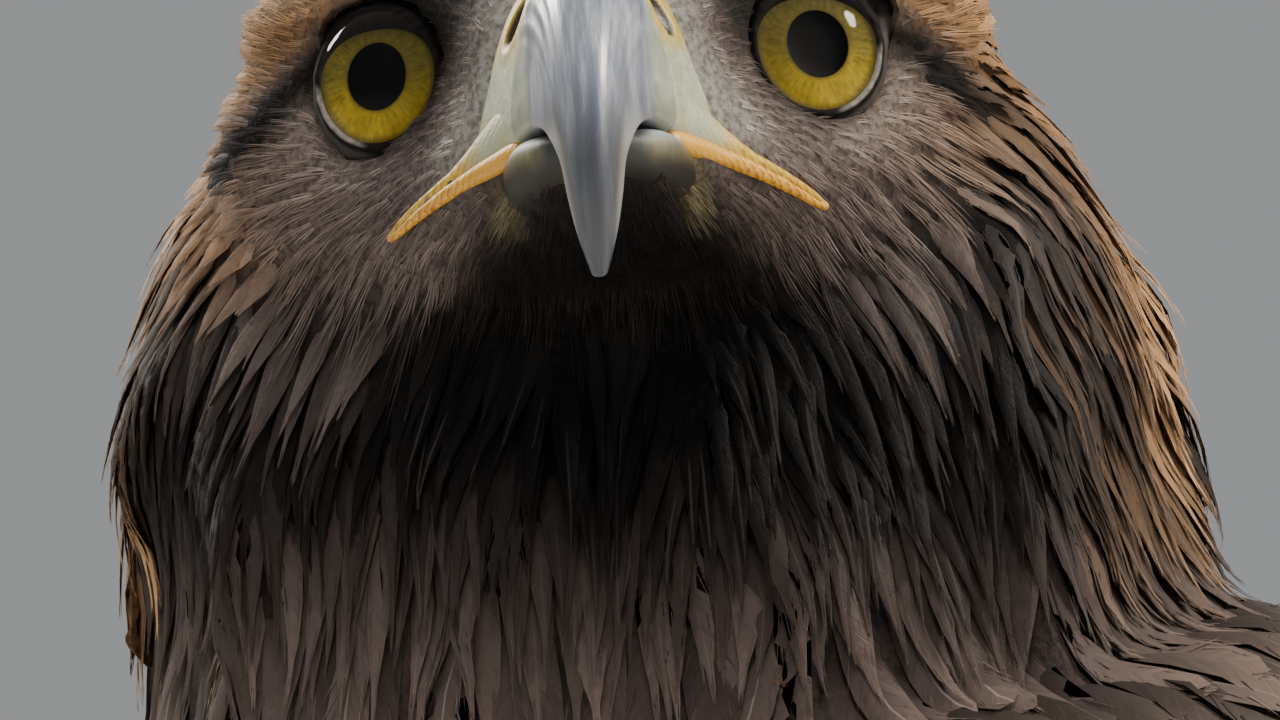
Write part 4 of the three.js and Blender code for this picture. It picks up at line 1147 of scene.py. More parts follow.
def markings_and_shade(places, normals, share, luck):
    """The colour of a feather's body and of its tip, both linear."""
    on_head = head_measure(places)
    x, y, z = on_head.T
    beside = np.abs(x)
    reach, _ = eye_reach(on_head)
    facing = normals @ FRONT
    height = places[:, 2] / MM
    gold = mixed((0.20, 0.108, 0.050), (0.38, 0.215, 0.100), luck)
    dark = mixed((0.010, 0.007, 0.005), (0.028, 0.019, 0.014), luck)
    mauve = mixed((0.120, 0.090, 0.080), (0.190, 0.148, 0.130), luck)

    head = mixed(mauve, (0.20, 0.145, 0.115), blend(28, 42, beside) * blend(-30, -8, z) * 0.7)
    head = mixed(head, gold, blend(8, 34, y) * blend(-34, -8, z))
    above = z - 10 + 0.6 * np.maximum(beside - 28, 0)
    head = mixed(head, gold, blend(3, 8, above) * blend(-20, 4, y))
    head = mixed(head, (0.09, 0.062, 0.045), blend(3, 8, above) * blend(4, -20, y))
    # A near-black band under the brow ridge: painted shade of the brow.
    brow_shadow = np.clip(1.5 * np.exp(-(above / 3.4) ** 2), 0, 1) * blend(8, 16, beside) * blend(40, 20, y)
    head = mixed(head, (0.006, 0.0045, 0.004), brow_shadow)
    lore = blend(9.5, 4, beside - 8 - 0.55 * np.maximum(-z, 0)) * blend(0, -10, y) * blend(-19, -12, z)
    head = mixed(head, mixed((0.19, 0.175, 0.15), (0.60, 0.57, 0.50), luck), lore)
    # Painted shade above each eye and on its inner side, towards the bill, with a dark ring close round the
    # eye.
    inner = blend(4, -6, beside - 27) * blend(16.5, 11, reach)
    shade_above_eye = blend(24, 15, reach) * blend(33, 26, beside) * blend(-8, 3, z) * blend(14, 17.5, beside)
    eye_shade_and_ring = np.maximum(np.maximum(inner, shade_above_eye), blend(13.5, 10.5, reach) * 0.7)
    head = mixed(head, (0.013, 0.011, 0.009), eye_shade_and_ring)
    soft_spot = (np.exp(-((reach - 15) / 3.2) ** 2) * blend(30, 35, beside) * blend(2, -4, z)
                 * blend(-20, -12, z))
    head = mixed(head, (0.30, 0.245, 0.205), soft_spot * 0.55)
    # Painted shade under the bill, and the chin painted near black: dark feathers with painted shade over
    # them.
    over_chin = z + 22 + 0.85 * np.maximum(beside - 12, 0)
    chin = blend(2, -6, over_chin) * blend(40, 20, y)
    shadow = blend(8, -2, over_chin) * blend(40, 20, y)
    head = mixed(head, dark, shadow * 0.85)
    head = mixed(head, (0.0035, 0.0030, 0.0028), chin)
    hairy = np.exp(-((beside - 13) / 1.8) ** 2) * blend(-17, -20, z) * blend(-30, -24, z) * blend(-14, -22, y)
    head = mixed(head, (0.15, 0.125, 0.070), hairy)

    neck = mixed(gold, dark, blend(-0.05, 0.50, facing))
    # The front of the neck is painted near black: dark feathers with painted shade over them.
    black = blend(0.3, 0.8, facing) * blend(506, 538, height)
    neck = mixed(neck, (0.0030, 0.0024, 0.0022), black)
    breast = mixed((0.044, 0.031, 0.027), (0.082, 0.060, 0.052), luck)
    neck = mixed(neck, breast, blend(544, 516, height) * blend(-0.1, 0.35, facing))
    mantle = mixed(gold, (0.050, 0.033, 0.024), blend(560, 500, height))
    torso = mixed(mantle, breast, blend(-0.3, 0.2, facing))
    torso = mixed(torso, (0.060, 0.038, 0.026), blend(300, 240, height))
    wing = mixed((0.040, 0.030, 0.025), (0.082, 0.061, 0.050), luck)
    thigh = mixed((0.070, 0.043, 0.025), (0.11, 0.068, 0.040), luck)
    shank = mixed((0.20, 0.13, 0.072), (0.28, 0.19, 0.11), luck)
    body = np.einsum("ri,irc->ic", share.T, np.stack([head, neck, torso, wing, thigh, shank], axis=1))

    paler = np.array((0.075, 0.052, 0.038))
    edge = share @ np.array((0.1, 0.5, 0.5, 1.0, 0.4, 0.2))
    tip = body * (1 + 0.5 * edge)[:, None] + paler * (edge * (1 - 0.9 * black))[:, None]
    return body, tip


body_colour, _ = markings_and_shade(places, normals, share_of, np.full(len(places), 0.4))
vertex_vectors(skin, "tint", body_colour * 0.7)
print("markings, brightest and darkest:", body_colour.max(axis=0).round(2), body_colour.min(axis=0).round(3))

# %% [markdown]
# A feather is a shaft with barbs on both sides, which catch the light in fine slanting lines. Each barb
# could be a strand of its own, but half a million of them would be too heavy for a part. So a vane is one
# thin slip of mesh, and its finish draws the barbs from how far along and across the feather a point lies.
# The flight feathers also get faint grey bands.

# %% Plumage finish
def plumage_finish(name, roughness, sheen, shaft=0.15, bars=0.0):
    """Barbs drawn slantwise on each vane, a pale shaft, and colours from the tint of each feather."""
    paint = Finish(name, Roughness=roughness, Sheen_Weight=sheen, Sheen_Roughness=0.4,
                   Specular_IOR_Level=0.12)
    across, along, share = paint.parts(paint.attribute("vane", "Vector"))
    luck = paint.attribute("luck", "Fac")
    tint = paint.attribute("tint", "Vector")
    barb = along - across.size() * 1.3
    fine = paint.noise(paint.join(barb * 2.4, across * 0.25, luck * 91), 1.3, 3.0, 0.6)
    clump = paint.noise(paint.join(barb * 0.5, across * 0.12, luck * 37), 1.0, 3.0, 0.5)
    shade = 0.30 + fine * 0.75 + clump * 0.65
    colour = paint.mix(1.0, tint, paint.join(shade, shade, shade), "MULTIPLY")
    if bars:
        wave = paint.noise(paint.join(along * 0.055, across * 0.02, luck * 13), 1.0, 2.0, 0.5)
        marble = paint.noise(paint.join(along * 0.35, across * 0.16, luck * 29), 1.0, 4.0, 0.65)
        band = (along * 0.21 + wave * 3.0 + luck * 0.9).wave().between(-0.1, 0.8)
        grey = (band * 0.6 + marble.between(0.5, 0.7) * 0.4) * share.between(0.88, 0.75) * bars
        colour = paint.mix(grey, colour, (0.115, 0.10, 0.088))
    quill = across.size().between(0.24, 0.10) * share.between(0.3, 0.5) * luck.between(0.45, 0.9)
    colour = paint.mix(quill * shaft, colour, (0.34, 0.30, 0.26))
    paint.set(Base_Color=colour, Roughness=roughness - 0.1 + fine * 0.2)
    paint.bump(fine + clump, 0.35, 0.0004)
    return paint.material


skin_paint = Finish("feathered_skin", Roughness=0.85, Specular_IOR_Level=0.1)
grain = skin_paint.noise(skin_paint.place(), 900.0, 3.0, 0.6)
under_coat = skin_paint.attribute("tint", "Vector")
skin_paint.set(Base_Color=skin_paint.mix(grain.between(0.35, 0.7) * 0.6, under_coat, (0.01, 0.008, 0.007)))
skin_paint.bump(grain, 0.4, 0.0008)
down_paint = plumage_finish("face_feathers", 0.75, 0.0, shaft=0.0)
hackle_paint = plumage_finish("hackles", 0.6, 0.0, shaft=0.06)
body_paint = plumage_finish("body_feathers", 0.6, 0.02, shaft=0.35)
flight_paint = plumage_finish("flight_feathers", 0.5, 0.02, shaft=0.2, bars=0.8)
print("plumage finishes:", [paint.name for paint in (down_paint, hackle_paint, body_paint, flight_paint)])

# %% [markdown]
# Hair curves would be quick, but an eagle's coat is of vanes that overlap like tiles. So feathers are drawn
# once on a flat page and then laid on the bird many times. On the page a point is how far along the feather
# it is, how far across in half widths, and how high. A feather is a vane and a fringe of loose barbs, and
# the small ones of the face are tufts of barbs alone.

# %% Feather shapes
rng = np.random.default_rng(11)


def slip(rings, tip):
    """A closed slip of mesh. A ring runs from the left edge over the top to the right, and maybe below."""
    rings = np.asarray(rings, float)
    count, around = rings.shape[:2]
    points = np.concatenate([rings.reshape(-1, 3), [tip]])
    faces = [(0, k, k + 1) for k in range(1, around - 1)]
    for start in range(0, (count - 1) * around, around):
        for k in range(around):
            p, q = start + k, start + (k + 1) % around
            faces += [(p, p + around, q + around), (p, q + around, q)]
    last = (count - 1) * around
    faces += [(last + k, count * around, last + (k + 1) % around) for k in range(around)]
    return points, np.array(faces)


def together(slips):
    """Slips as one page, with a luck of its own for each."""
    offset, points, faces, lucks = 0, [], [], []
    for own, own_faces in slips:
        points.append(own)
        faces.append(own_faces + offset)
        lucks.append(np.full(len(own), rng.uniform(0, 1)))
        offset += len(own)
    return np.concatenate(points), np.concatenate(faces), np.concatenate(lucks)


def barb(start, end, width, rows=3, bow=0.0):
    t = np.arange(rows) / rows
    line = np.array(start) + (np.array(end) - start) * t[:, None]
    line[:, 1] += bow * np.sin(t * math.pi)
    half = width * (1 - 0.6 * t ** 2)
    rings = [[(a, b - w, h), (a, b, h + 0.6 * w), (a, b + w, h)] for (a, b, h), w in zip(line, half)]
    return slip(rings, end)


def tuft(strands, spread, width, rows=3):
    made = []
    for k in range(strands):
        b = spread * ((k + 0.5) / strands * 2 - 1) + rng.uniform(-0.15, 0.15)
        start = (rng.uniform(0, 0.2), b * 0.35, rng.uniform(0, 0.1))
        end = (rng.uniform(0.7, 1.0), b, rng.uniform(-0.1, 0.4))
        made.append(barb(start, end, width * rng.uniform(0.75, 1.25), rows, rng.uniform(-0.2, 0.2)))
    return together(made)


def feather(widths, thick, camber, barbs, reach, barb_width, fringe_from):
    """A vane with its half widths at steps along it, and loose barbs out of its edges."""
    rings = [[(a, -w, -camber * w * w), (a, 0, thick), (a, w, -camber * w * w), (a, 0, -thick)]
             for a, w in widths[:-1]]
    made = [slip(rings, (widths[-1][0], 0, -0.02))]
    at, wide = np.array(widths).T
    for k in range(barbs):
        side = 1 if k % 2 else -1
        a = fringe_from + (0.95 - fringe_from) * (k // 2 + rng.uniform(0.1, 0.9)) / ((barbs + 1) // 2)
        w = np.interp(a, at, wide)
        end_a = min(a + reach * rng.uniform(0.7, 1.2), 1.0 + 0.05 * rng.uniform(-1, 1))
        end_b = side * (np.interp(end_a, at, wide) * rng.uniform(0.95, 1.2) + 0.06)
        start = (a, side * w * 0.6, thick * 0.5 - camber * w * w * 0.36)
        end = (end_a, end_b, rng.uniform(-0.12, 0.12) - camber * w * w)
        made.append(barb(start, end, barb_width * rng.uniform(0.7, 1.3), 2))
    return together(made)


def lance(rows, widest=0.42, blunt=1.0, end=1.0):
    """Half widths of a pointed feather, whose vane may end short of the tips of its barbs."""
    at = np.linspace(0, 1, rows + 1)
    wide = np.where(at < widest, 0.4 + 0.6 * np.sin(at / widest * math.pi / 2),
                    np.clip(1 - ((at - widest) / (1 - widest)) ** 1.5, 0, 1) ** blunt)
    return list(zip(at * end, wide))


def spoon(rows, widest=0.62):
    """Half widths of a rounded feather."""
    at = 1 - (1 - np.linspace(0, 1, rows + 1)) ** 1.35
    wide = np.where(at < widest, 0.35 + 0.65 * np.sin(np.clip(at / widest, 0, 1) * math.pi / 2),
                    np.sqrt(np.clip(1 - ((at - widest) / (1 - widest)) ** 2, 0, 1)))
    return list(zip(at, wide))


SHAPES = {
    "bristle": [tuft(4, 0.9, 0.11, 3) for _ in range(5)],
    "down": [tuft(6, 0.95, 0.10, 3) for _ in range(6)],
    "small": [feather(lance(4, 0.45, 0.9), 0.05, 0.15, 8, 0.35, 0.07, 0.15) for _ in range(6)],
    "hackle": [feather(lance(5, 0.36, 1.0, 0.88), 0.04, 0.2, 12, 0.34, 0.055, 0.1) for _ in range(6)],
    "body": [feather(spoon(7), 0.03, 0.16, 12, 0.2, 0.04, 0.3) for _ in range(6)],
    "long": [feather(lance(6, 0.5, 0.7), 0.04, 0.2, 12, 0.25, 0.05, 0.3) for _ in range(6)],
}
print("triangles of one feather:", {name: len(made[0][1]) for name, made in SHAPES.items()})

# %% [markdown]
# Roots are strewn over the skin, denser where feathers are small, and thinned until none crowd each other.
# Plain chance would leave bald spots and heaps, and a grid would show its rows. Each feather then walks
# down the lie of the coat in four steps, close over the skin, with its tip standing off.

# %% Planting
SPINE = 5
ROOT_SINK = 0.8
skin_corners = places[skin_faces]
skin_area = np.linalg.norm(np.cross(skin_corners[:, 1] - skin_corners[:, 0],
                                    skin_corners[:, 2] - skin_corners[:, 0]), axis=1) / 2 / MM ** 2
edit(skin, lambda: bpy.ops.uv.smart_project(angle_limit=math.radians(66), island_margin=0.002))
loop_uv = np.zeros(len(skin.data.loops) * 2, np.float32)
skin.data.uv_layers.active.data.foreach_get("uv", loop_uv)
skin.data.uv_layers.active.name = "OFBake"
skin.data.calc_loop_triangles()
triangle_loops = np.zeros(len(skin.data.loop_triangles) * 3, np.int32)
skin.data.loop_triangles.foreach_get("loops", triangle_loops)
triangle_uv = loop_uv.reshape(-1, 2)[triangle_loops.reshape(-1, 3)]


def strew(spacing, wanted):
    """Roots on the skin: which triangle, and the shares of its corners."""
    density = skin_area / spacing[skin_faces].mean(axis=1) ** 2 * wanted[skin_faces].min(axis=1)
    count = int(density.sum() * 3.5)
    triangle = rng.choice(len(density), count, p=density / density.sum())
    share = rng.dirichlet((1, 1, 1), count)
    found = np.einsum("fk,fkc->fc", share, skin_corners[triangle])
    room = np.einsum("fk,fk->f", share, spacing[skin_faces][triangle]) * MM
    tree = KDTree(count)
    for i, point in enumerate(found):
        tree.insert(point, i)
    tree.balance()
    taken = np.zeros(count, bool)
    kept = []
    for i in range(count):
        if not taken[i]:
            kept.append(i)
            for _, j, _ in tree.find_range(found[i], room[i]):
                taken[j] = True
    return triangle[kept], share[kept]


def on_skin(values, triangle, share):
    return np.einsum("fk,fkc->fc", share, values[skin_faces[triangle]].reshape(len(triangle), 3, -1))


def walk(start, start_normal, heading, length, lift):
    """Spines, up vectors and side vectors of feathers that follow the skin. Lengths in millimetres."""
    count = len(start)
    spine, up, ahead_of = (np.zeros((count, SPINE, 3)) for _ in range(3))
    place, direction, normal = start.copy(), heading.copy(), start_normal.copy()
    step = length[:, None] * MM / (SPINE - 1)
    for k in range(SPINE):
        t = k / (SPINE - 1)
        rise = (-ROOT_SINK + (lift + ROOT_SINK) * t ** 0.8)[:, None] * MM
        spine[:, k] = place + normal * rise
        up[:, k], ahead_of[:, k] = normal, direction
        ahead = place + direction * step
        found = [skin_tree.find_nearest(Vector(p)) for p in ahead]
        near = np.array([f[0] for f in found])
        vertex = skin_faces[[f[2] for f in found], 0]
        pull = near - ahead
        size = np.linalg.norm(pull, axis=1, keepdims=True)
        place = ahead + pull * np.minimum(1, 0.4 * step / np.maximum(size, 1e-9))
        normal = unit(normal + normals[vertex])
        direction = tangent(direction * 0.7 + flow[vertex] * 0.3, normal)
    return spine, up, unit(np.cross(up, ahead_of))


def root_places(points):
    found = [skin_tree.find_nearest(Vector(p))[2] for p in points]
    return triangle_uv[found].mean(axis=1)


MOST_TRIANGLES = 190000
BAKE_PATCH = 0.003
PALE_EDGE = 0.35


def lay_feathers(name, slot, material, shapes, spine, up, side, length, half, body, tip, roots, tilt=None):
    """Copies of the shapes on the spines, as pieces of one coat, none of them too large.

    spine, up and side say how each feather lies, half is its half width, body and tip are its colours, and
    roots are the places of its patch on the baking map.
    """
    count = len(spine)
    choice = rng.integers(0, len(shapes), count)
    luck = rng.uniform(0, 1, count)
    order = np.argsort(choice, kind="stable")
    size = np.array([len(shapes[c][1]) for c in choice[order]])
    part_of = (np.cumsum(size) - 1) // MOST_TRIANGLES
    for part in range(part_of[-1] + 1):
        chosen = order[part_of == part]
        points, faces, shading, vane, tint, lucks, patch = ([] for _ in range(7))
        offset = 0
        for c in np.unique(choice[chosen]):
            mine = chosen[choice[chosen] == c]
            page, page_faces, page_luck = shapes[c]
            a, b, h = page.T
            weight = along_stations(np.eye(SPINE), a)
            above = np.einsum("ps,fsc->fpc", weight, up[mine])
            beside = np.einsum("ps,fsc->fpc", weight, side[mine])
            scale = half[mine][:, None, None] * MM
            height = h[None, :, None] * scale
            if tilt is not None:
                height = height + (tilt[mine][:, None] * b[None])[..., None] * MM
            points.append(np.einsum("ps,fsc->fpc", weight, spine[mine]) + beside * b[None, :, None] * scale
                          + above * height)
            facing = np.where((h < -0.02) & (np.abs(b) < 0.01) & (a < 0.99), -1.0, 1.0)
            shading.append(above * facing[None, :, None] + beside * (0.45 * np.clip(b, -1, 1))[None, :, None])
            across, along = b[None] * half[mine][:, None], a[None] * length[mine][:, None]
            vane.append(np.stack(np.broadcast_arrays(across, along, a[None]), axis=2))
            at_edge = PALE_EDGE * blend(0.6, 1.0, np.abs(b)) * blend(0.2, 0.5, a)
            lighter = np.maximum(blend(0.5, 1.0, a), at_edge)
            bright = ((0.78 + 0.44 * luck[mine])[:, None] * (0.7 + 0.6 * page_luck)
                      * (0.5 + 0.5 * blend(0, 0.45, a)))
            colour = body[mine][:, None] + (tip[mine] - body[mine])[:, None] * lighter[None, :, None]
            tint.append(colour * bright[..., None])
            lucks.append(((luck[mine][:, None] + page_luck) % 1).ravel())
            place_uv = roots[mine][:, None] + np.stack([b * 0.45, a - 0.5], axis=1)[None] * BAKE_PATCH
            patch.append(place_uv.reshape(-1, 2))
            first_point = offset + (np.arange(len(mine)) * len(a))[:, None, None]
            faces.append((page_faces[None] + first_point).reshape(-1, 3))
            offset += len(mine) * len(a)
        flat = [np.concatenate([own.reshape(-1, 3) for own in group])
                for group in (points, shading, vane, tint)]
        feather_mesh(f"{name}_{part + 1}", slot, material, *flat, np.concatenate(lucks),
                                 np.concatenate(patch), np.concatenate(faces))


def feather_mesh(name, slot, material, points, shading, vane, tint, lucks, patch, faces):
    mesh = bpy.data.meshes.new(name)
    mesh.vertices.add(len(points))
    mesh.vertices.foreach_set("co", points.astype(np.float32).ravel())
    mesh.loops.add(faces.size)
    mesh.loops.foreach_set("vertex_index", faces.astype(np.int32).ravel())
    mesh.polygons.add(len(faces))
    mesh.polygons.foreach_set("loop_start", np.arange(0, faces.size, 3, dtype=np.int32))
    mesh.update(calc_edges=True)
    mesh.polygons.foreach_set("use_smooth", np.ones(len(faces), bool))
    piece = bpy.data.objects.new(name, mesh)
    bpy.context.scene.collection.objects.link(piece)
    vertex_vectors(piece, "vane", vane)
    vertex_vectors(piece, "tint", tint)
    vertex_numbers(piece, "luck", lucks)
    bake_map = mesh.uv_layers.new(name="OFBake")
    bake_map.data.foreach_set("uv", patch[faces.ravel()].astype(np.float32).ravel())
    mesh.normals_split_custom_set_from_vertices(unit(shading).tolist())
    return finish_piece(piece, material)


# %% [markdown]
# Sizes of the small feathers: about 5 mm of bristle on the lores, 9 on the cheeks, 11 on the crown, 27 on
# the neck, 34 at the collar and 42 on the breast and back. One size for all would make the face coarse or
# the breast bald. Between two tracts the sizes run into each other. The eyes and the root of the bill stay
# bare.

# %% Small feathers
SIZES = np.array([  # length, half width, spacing, lift of the tip: head, neck, torso, wing, thigh, shank
    (11.0, 1.15, 1.9, 1.7),
    (27.0, 1.85, 2.75, 3.0),
    (42.0, 7.6, 9.2, 4.4),
    (34.0, 7.5, 9.5, 3.6),
    (38.0, 6.0, 8.4, 4.0),
    (14.0, 2.4, 3.9, 1.6),
])
FACE_SIZES = np.array((4.6, 0.62, 1.05, 0.55))
CHEEK_SIZES = np.array((9.0, 1.05, 1.65, 1.0))
LOW_NECK_SIZES = np.array((32.0, 4.8, 6.0, 3.2))
COLLAR_SIZES = np.array((34.0, 4.6, 5.8, 3.4))
NAPE_GROWTH = (0.9, 0.6, 0.4)
BARE_ROUND_EYE = 10.0
BROAD_FEATHER = 3.2
face = np.maximum(blend(-6, -16, on_head[:, 1]) * blend(-26, -16, on_head[:, 2]), blend(17, 12.5, reach))
cheek = blend(24, 4, on_head[:, 1])
sizes = SIZES[region]
sizes = mixed(sizes, CHEEK_SIZES, cheek * (region == HEAD))
sizes = mixed(sizes, FACE_SIZES, face * (region == HEAD))
breast_edge = (region == NECK) * blend(545, 512, places[:, 2] / MM)
sizes = mixed(sizes, LOW_NECK_SIZES, breast_edge)
collar = (region == TORSO) * blend(470, 512, places[:, 2] / MM)
sizes = mixed(sizes, COLLAR_SIZES, collar)
nape = (region == HEAD) * blend(28, 50, on_head[:, 1])
for column, grown in enumerate(NAPE_GROWTH):
    sizes[:, column] *= 1 + grown * nape
sizes = soften(sizes, edges, 5)
x, y, z = on_head.T
open_eye = reach < BARE_ROUND_EYE
bare_edge = 10.4 + 0.29 * np.maximum(8 - z, 0) + 0.25 * np.maximum(-7 - z, 0)
under_bill = (y < -20) & (np.abs(x) < bare_edge) & (z < 10.5) & (z > -19.5)
planted = (1.0 - (open_eye | under_bill)) * (share_of[:, WING] < 0.75)
triangle, share = strew(sizes[:, 2], planted)
roots = on_skin(places, triangle, share)
root_normals = unit(on_skin(normals, triangle, share))
root_sizes = on_skin(sizes, triangle, share)
root_share = on_skin(share_of, triangle, share)
root_flow = on_skin(flow, triangle, share)
root_region = root_share.argmax(axis=1)
root_face = on_skin(face[:, None], triangle, share)[:, 0]
root_cheek = on_skin(cheek[:, None], triangle, share)[:, 0]
print("roots:", len(roots), "by region", np.bincount(root_region, minlength=REGIONS).tolist())


def plant(name, slot, material, shapes, mine, stray=0.14):
    """The small feathers of one tract."""
    count = int(mine.sum())
    heading = root_flow[mine] + rng.normal(0, stray, (count, 3))
    heading = tangent(heading, root_normals[mine])
    length = root_sizes[mine, 0] * rng.uniform(0.82, 1.18, count)
    half = root_sizes[mine, 1] * rng.uniform(0.85, 1.15, count)
    lift = root_sizes[mine, 3] * rng.uniform(0.55, 1.45, count)
    spine, up, side = walk(roots[mine], root_normals[mine], heading, length, lift)
    roll = rng.normal(0, 0.16, count)[:, None, None]
    side = unit(side + up * roll)
    half_way = roots[mine] + heading * (length * 0.5 * MM)[:, None]
    body, tip = markings_and_shade(half_way, root_normals[mine], root_share[mine], rng.uniform(0, 1, count))
    patch = np.einsum("fk,fkc->fc", share[mine], triangle_uv[triangle[mine]])
    lay_feathers(name, slot, material, SHAPES[shapes], spine, up, side, length, half, body, tip, patch)


on_face = (root_region == HEAD) & (root_face > 0.4)
on_cheek = (root_region == HEAD) & ~on_face & (root_cheek > 0.35)
on_crown = (root_region == HEAD) & ~on_face & ~on_cheek
plant("face_feathers", "crown_feather", down_paint, "bristle", on_face, stray=0.2)
plant("cheek_feathers", "crown_feather", down_paint, "down", on_cheek)
plant("crown_feathers", "crown_feather", hackle_paint, "small", on_crown)
broad = root_sizes[:, 1] > BROAD_FEATHER
plant("neck_hackles", "hackle_feather", hackle_paint, "hackle", (root_region == NECK) & ~broad)
plant("breast_hackles", "hackle_feather", body_paint, "body", (root_region == NECK) & broad)
plant("body_feathers", "body_feather", body_paint, "body", (root_region == TORSO) | (root_region == WING))
plant("thigh_feathers", "leg_feather", body_paint, "long", root_region == THIGH)
plant("shank_feathers", "leg_feather", body_paint, "small", root_region == SHANK)
finish_piece(skin, skin_paint.material, FLESH)

# %% [markdown]
# The feathers of the shank end in a skirt over the roots of the toes. Feathers planted on the skin would
# stop at its edge and show the join, so three rings of them hang from the shank's lower end over the foot.

# %% Toe skirts
SKIRT_RINGS = [  # height, radius, radius of the tips, drop
    (34, 12.5, 15, 13.5), (28, 12.0, 17, 13), (23, 11, 16.5, 11)]
SKIRT_AROUND = 30
SKIRT_LENGTH, SKIRT_HALF = 14.0, 2.3


def all_of(form, count):
    """The shares of the regions for feathers that all belong to one of them."""
    return np.tile(np.eye(REGIONS)[form], (count, 1))


def toe_skirt(letter, side):
    rows = [(*sizes_of_ring, (k + 0.5 * (ring % 2)) / SKIRT_AROUND * 2 * math.pi + rng.normal(0, 0.05))
            for ring, sizes_of_ring in enumerate(SKIRT_RINGS) for k in range(SKIRT_AROUND)]
    height, radius, wide, drop, angle = np.array(rows).T
    t = np.linspace(0, 1, SPINE)
    out = np.stack([np.sin(angle), np.cos(angle), np.zeros_like(angle)], axis=1)
    ring = radius[:, None] + (wide - radius)[:, None] * t ** 1.3 * rng.uniform(0.8, 1.2, len(rows))[:, None]
    spine = FOOT * (side, 1, 1) + out[:, None] * ring[..., None]
    spine[..., 2] = height[:, None] - drop[:, None] * t * rng.uniform(0.85, 1.1, len(rows))[:, None]
    spine = (spine - CENTRED) * MM
    up = unit(np.repeat(out[:, None], SPINE, axis=1) + (0, 0, 0.35))
    across = unit(np.cross(up, unit(np.gradient(spine, axis=1))))
    body, tip = markings_and_shade(spine[:, 2], up[:, 2], all_of(SHANK, len(rows)), rng.uniform(0, 1, len(rows)))
    lay_feathers(f"toe_skirt_{letter}", "leg_feather", body_paint, SHAPES["small"], spine, up, across,
                 np.full(len(rows), SKIRT_LENGTH), np.full(len(rows), SKIRT_HALF), body, tip,
                 root_places(spine[:, 0]))


for letter, side in SIDES.items():
    toe_skirt(letter, side)

# %% [markdown]
# The wings wear three kinds of feather. Small coverts stand in rows over the flesh; larger coverts,
# secondaries and primaries lie under them in tiers, as in the solids. One broad shell with lines on it
# would look like a shield: on a real wing the steps between the tiers catch the light. So the long feathers
# are laid one by one on the wing's surface, each a little tilted over its neighbour.

# %% Wing feathers
def flight_shape(rows, leading, tip_from, notches=2):
    """A stiff vane whose leading side is narrower, with small splits where barbs have parted."""
    in_tip = tip_from + (1 - tip_from) * np.array((0.35, 0.65, 0.88, 0.985))
    at = np.concatenate([np.linspace(0, tip_from, rows - 4), in_tip])
    rounding = 1 - (np.clip(at - tip_from, 0, 1) / (1.001 - tip_from)) ** 2.4
    wide = (0.55 + 0.45 * blend(0, 0.4, at)) * np.sqrt(np.clip(rounding, 0, 1))
    rings = []
    splits = rng.uniform(0.45, 0.9, notches)
    for a, w in zip(at, wide):
        near = np.exp(-((a - splits) / 0.012) ** 2).max()
        left, right = w * leading, w * (1 - 0.16 * near)
        rings.append([(a, -left, -0.02 * left), (a, -left * 0.45, 0.012), (a, 0, 0.045),
                      (a, right * 0.5, 0.012), (a, right, -0.04 * right), (a, 0, -0.04)])
    return together([slip(rings, (1.0, 0, 0))])


SHAPES["flight"] = [flight_shape(18, 0.8, 0.8) for _ in range(6)]
SHAPES["covert"] = [feather(spoon(9, 0.6), 0.03, 0.12, 18, 0.14, 0.04, 0.35) for _ in range(5)]
QUILL_BODY, QUILL_TIP = 0.42, 0.8


def wing_tier(name, slot, material, shapes, rows, replaced=()):
    """rows of (side, a and b of root and tip, height at root and tip, half width, tilt)."""
    spines, ups, sides, lengths = [], [], [], []
    rows = np.array(rows, float)
    t = np.linspace(0, 1, SPINE)
    for side, a0, b0, a1, b1, h0, h1, *_ in rows:
        a, b = a0 + (a1 - a0) * t, b0 + (b1 - b0) * t
        spot, normal, _ = wing_frame(int(side), a, b, h0 + (h1 - h0) * blend(0, 0.6, t))
        ahead = unit(np.gradient(spot, axis=0))
        spines.append(spot)
        ups.append(normal)
        sides.append(unit(np.cross(normal, ahead)))
        lengths.append(np.linalg.norm(np.diff(spot, axis=0), axis=1).sum() / MM)
    spines, ups, sides = (np.array(own) for own in (spines, ups, sides))
    count = len(rows)
    body, tip = markings_and_shade(spines[:, 2], ups[:, 2], all_of(WING, count), rng.uniform(0, 1, count))
    if material is flight_paint:
        body, tip = body * QUILL_BODY, body * QUILL_TIP
    lower_side = np.sign(-sides[:, 2, 2])
    lay_feathers(name, slot, material, SHAPES[shapes], spines, ups, sides, np.array(lengths), rows[:, 7],
                 body, tip, root_places(spines[:, 0]), tilt=rows[:, 8] * lower_side)
    if replaced:
        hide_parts(*replaced)


COVERT_SINK = 1.2
RAISED_COVERTS = (0.26, 0.34, 0.5), (0, 24, 26)  # where their tips end, and their least height there


def over_wing(side, rows, tip_lift):
    """Spines, up and side vectors of small coverts. rows of (a and b of the root, a and b of the tip)."""
    t = np.linspace(0, 1, SPINE)
    a0, b0, a1, b1 = (rows[:, k, None] for k in range(4))

    def line(shift):
        a, b = a0 + (a1 - a0) * t, np.clip(b0 + (b1 - b0) * t + shift, 0, 1)
        root, end = wing_rise(a0, b) - COVERT_SINK, wing_rise(a1, b) + tip_lift[:, None]
        end = np.maximum(end, np.interp(a1, *RAISED_COVERTS) * wing_edge(b))
        over_flesh = wing_rise(a, b) + (tip_lift[:, None] + COVERT_SINK) * t - COVERT_SINK
        height = np.maximum(over_flesh, root + (end - root) * t)
        return wing_frame(side, a, b, height)[0]

    spine = line(0)
    ahead = unit(np.gradient(spine, axis=1))
    up = unit(np.cross(line(0.02) - line(-0.02), ahead)) * side
    return spine, up, unit(np.cross(up, ahead))


SMALL_COVERTS_END = 0.335


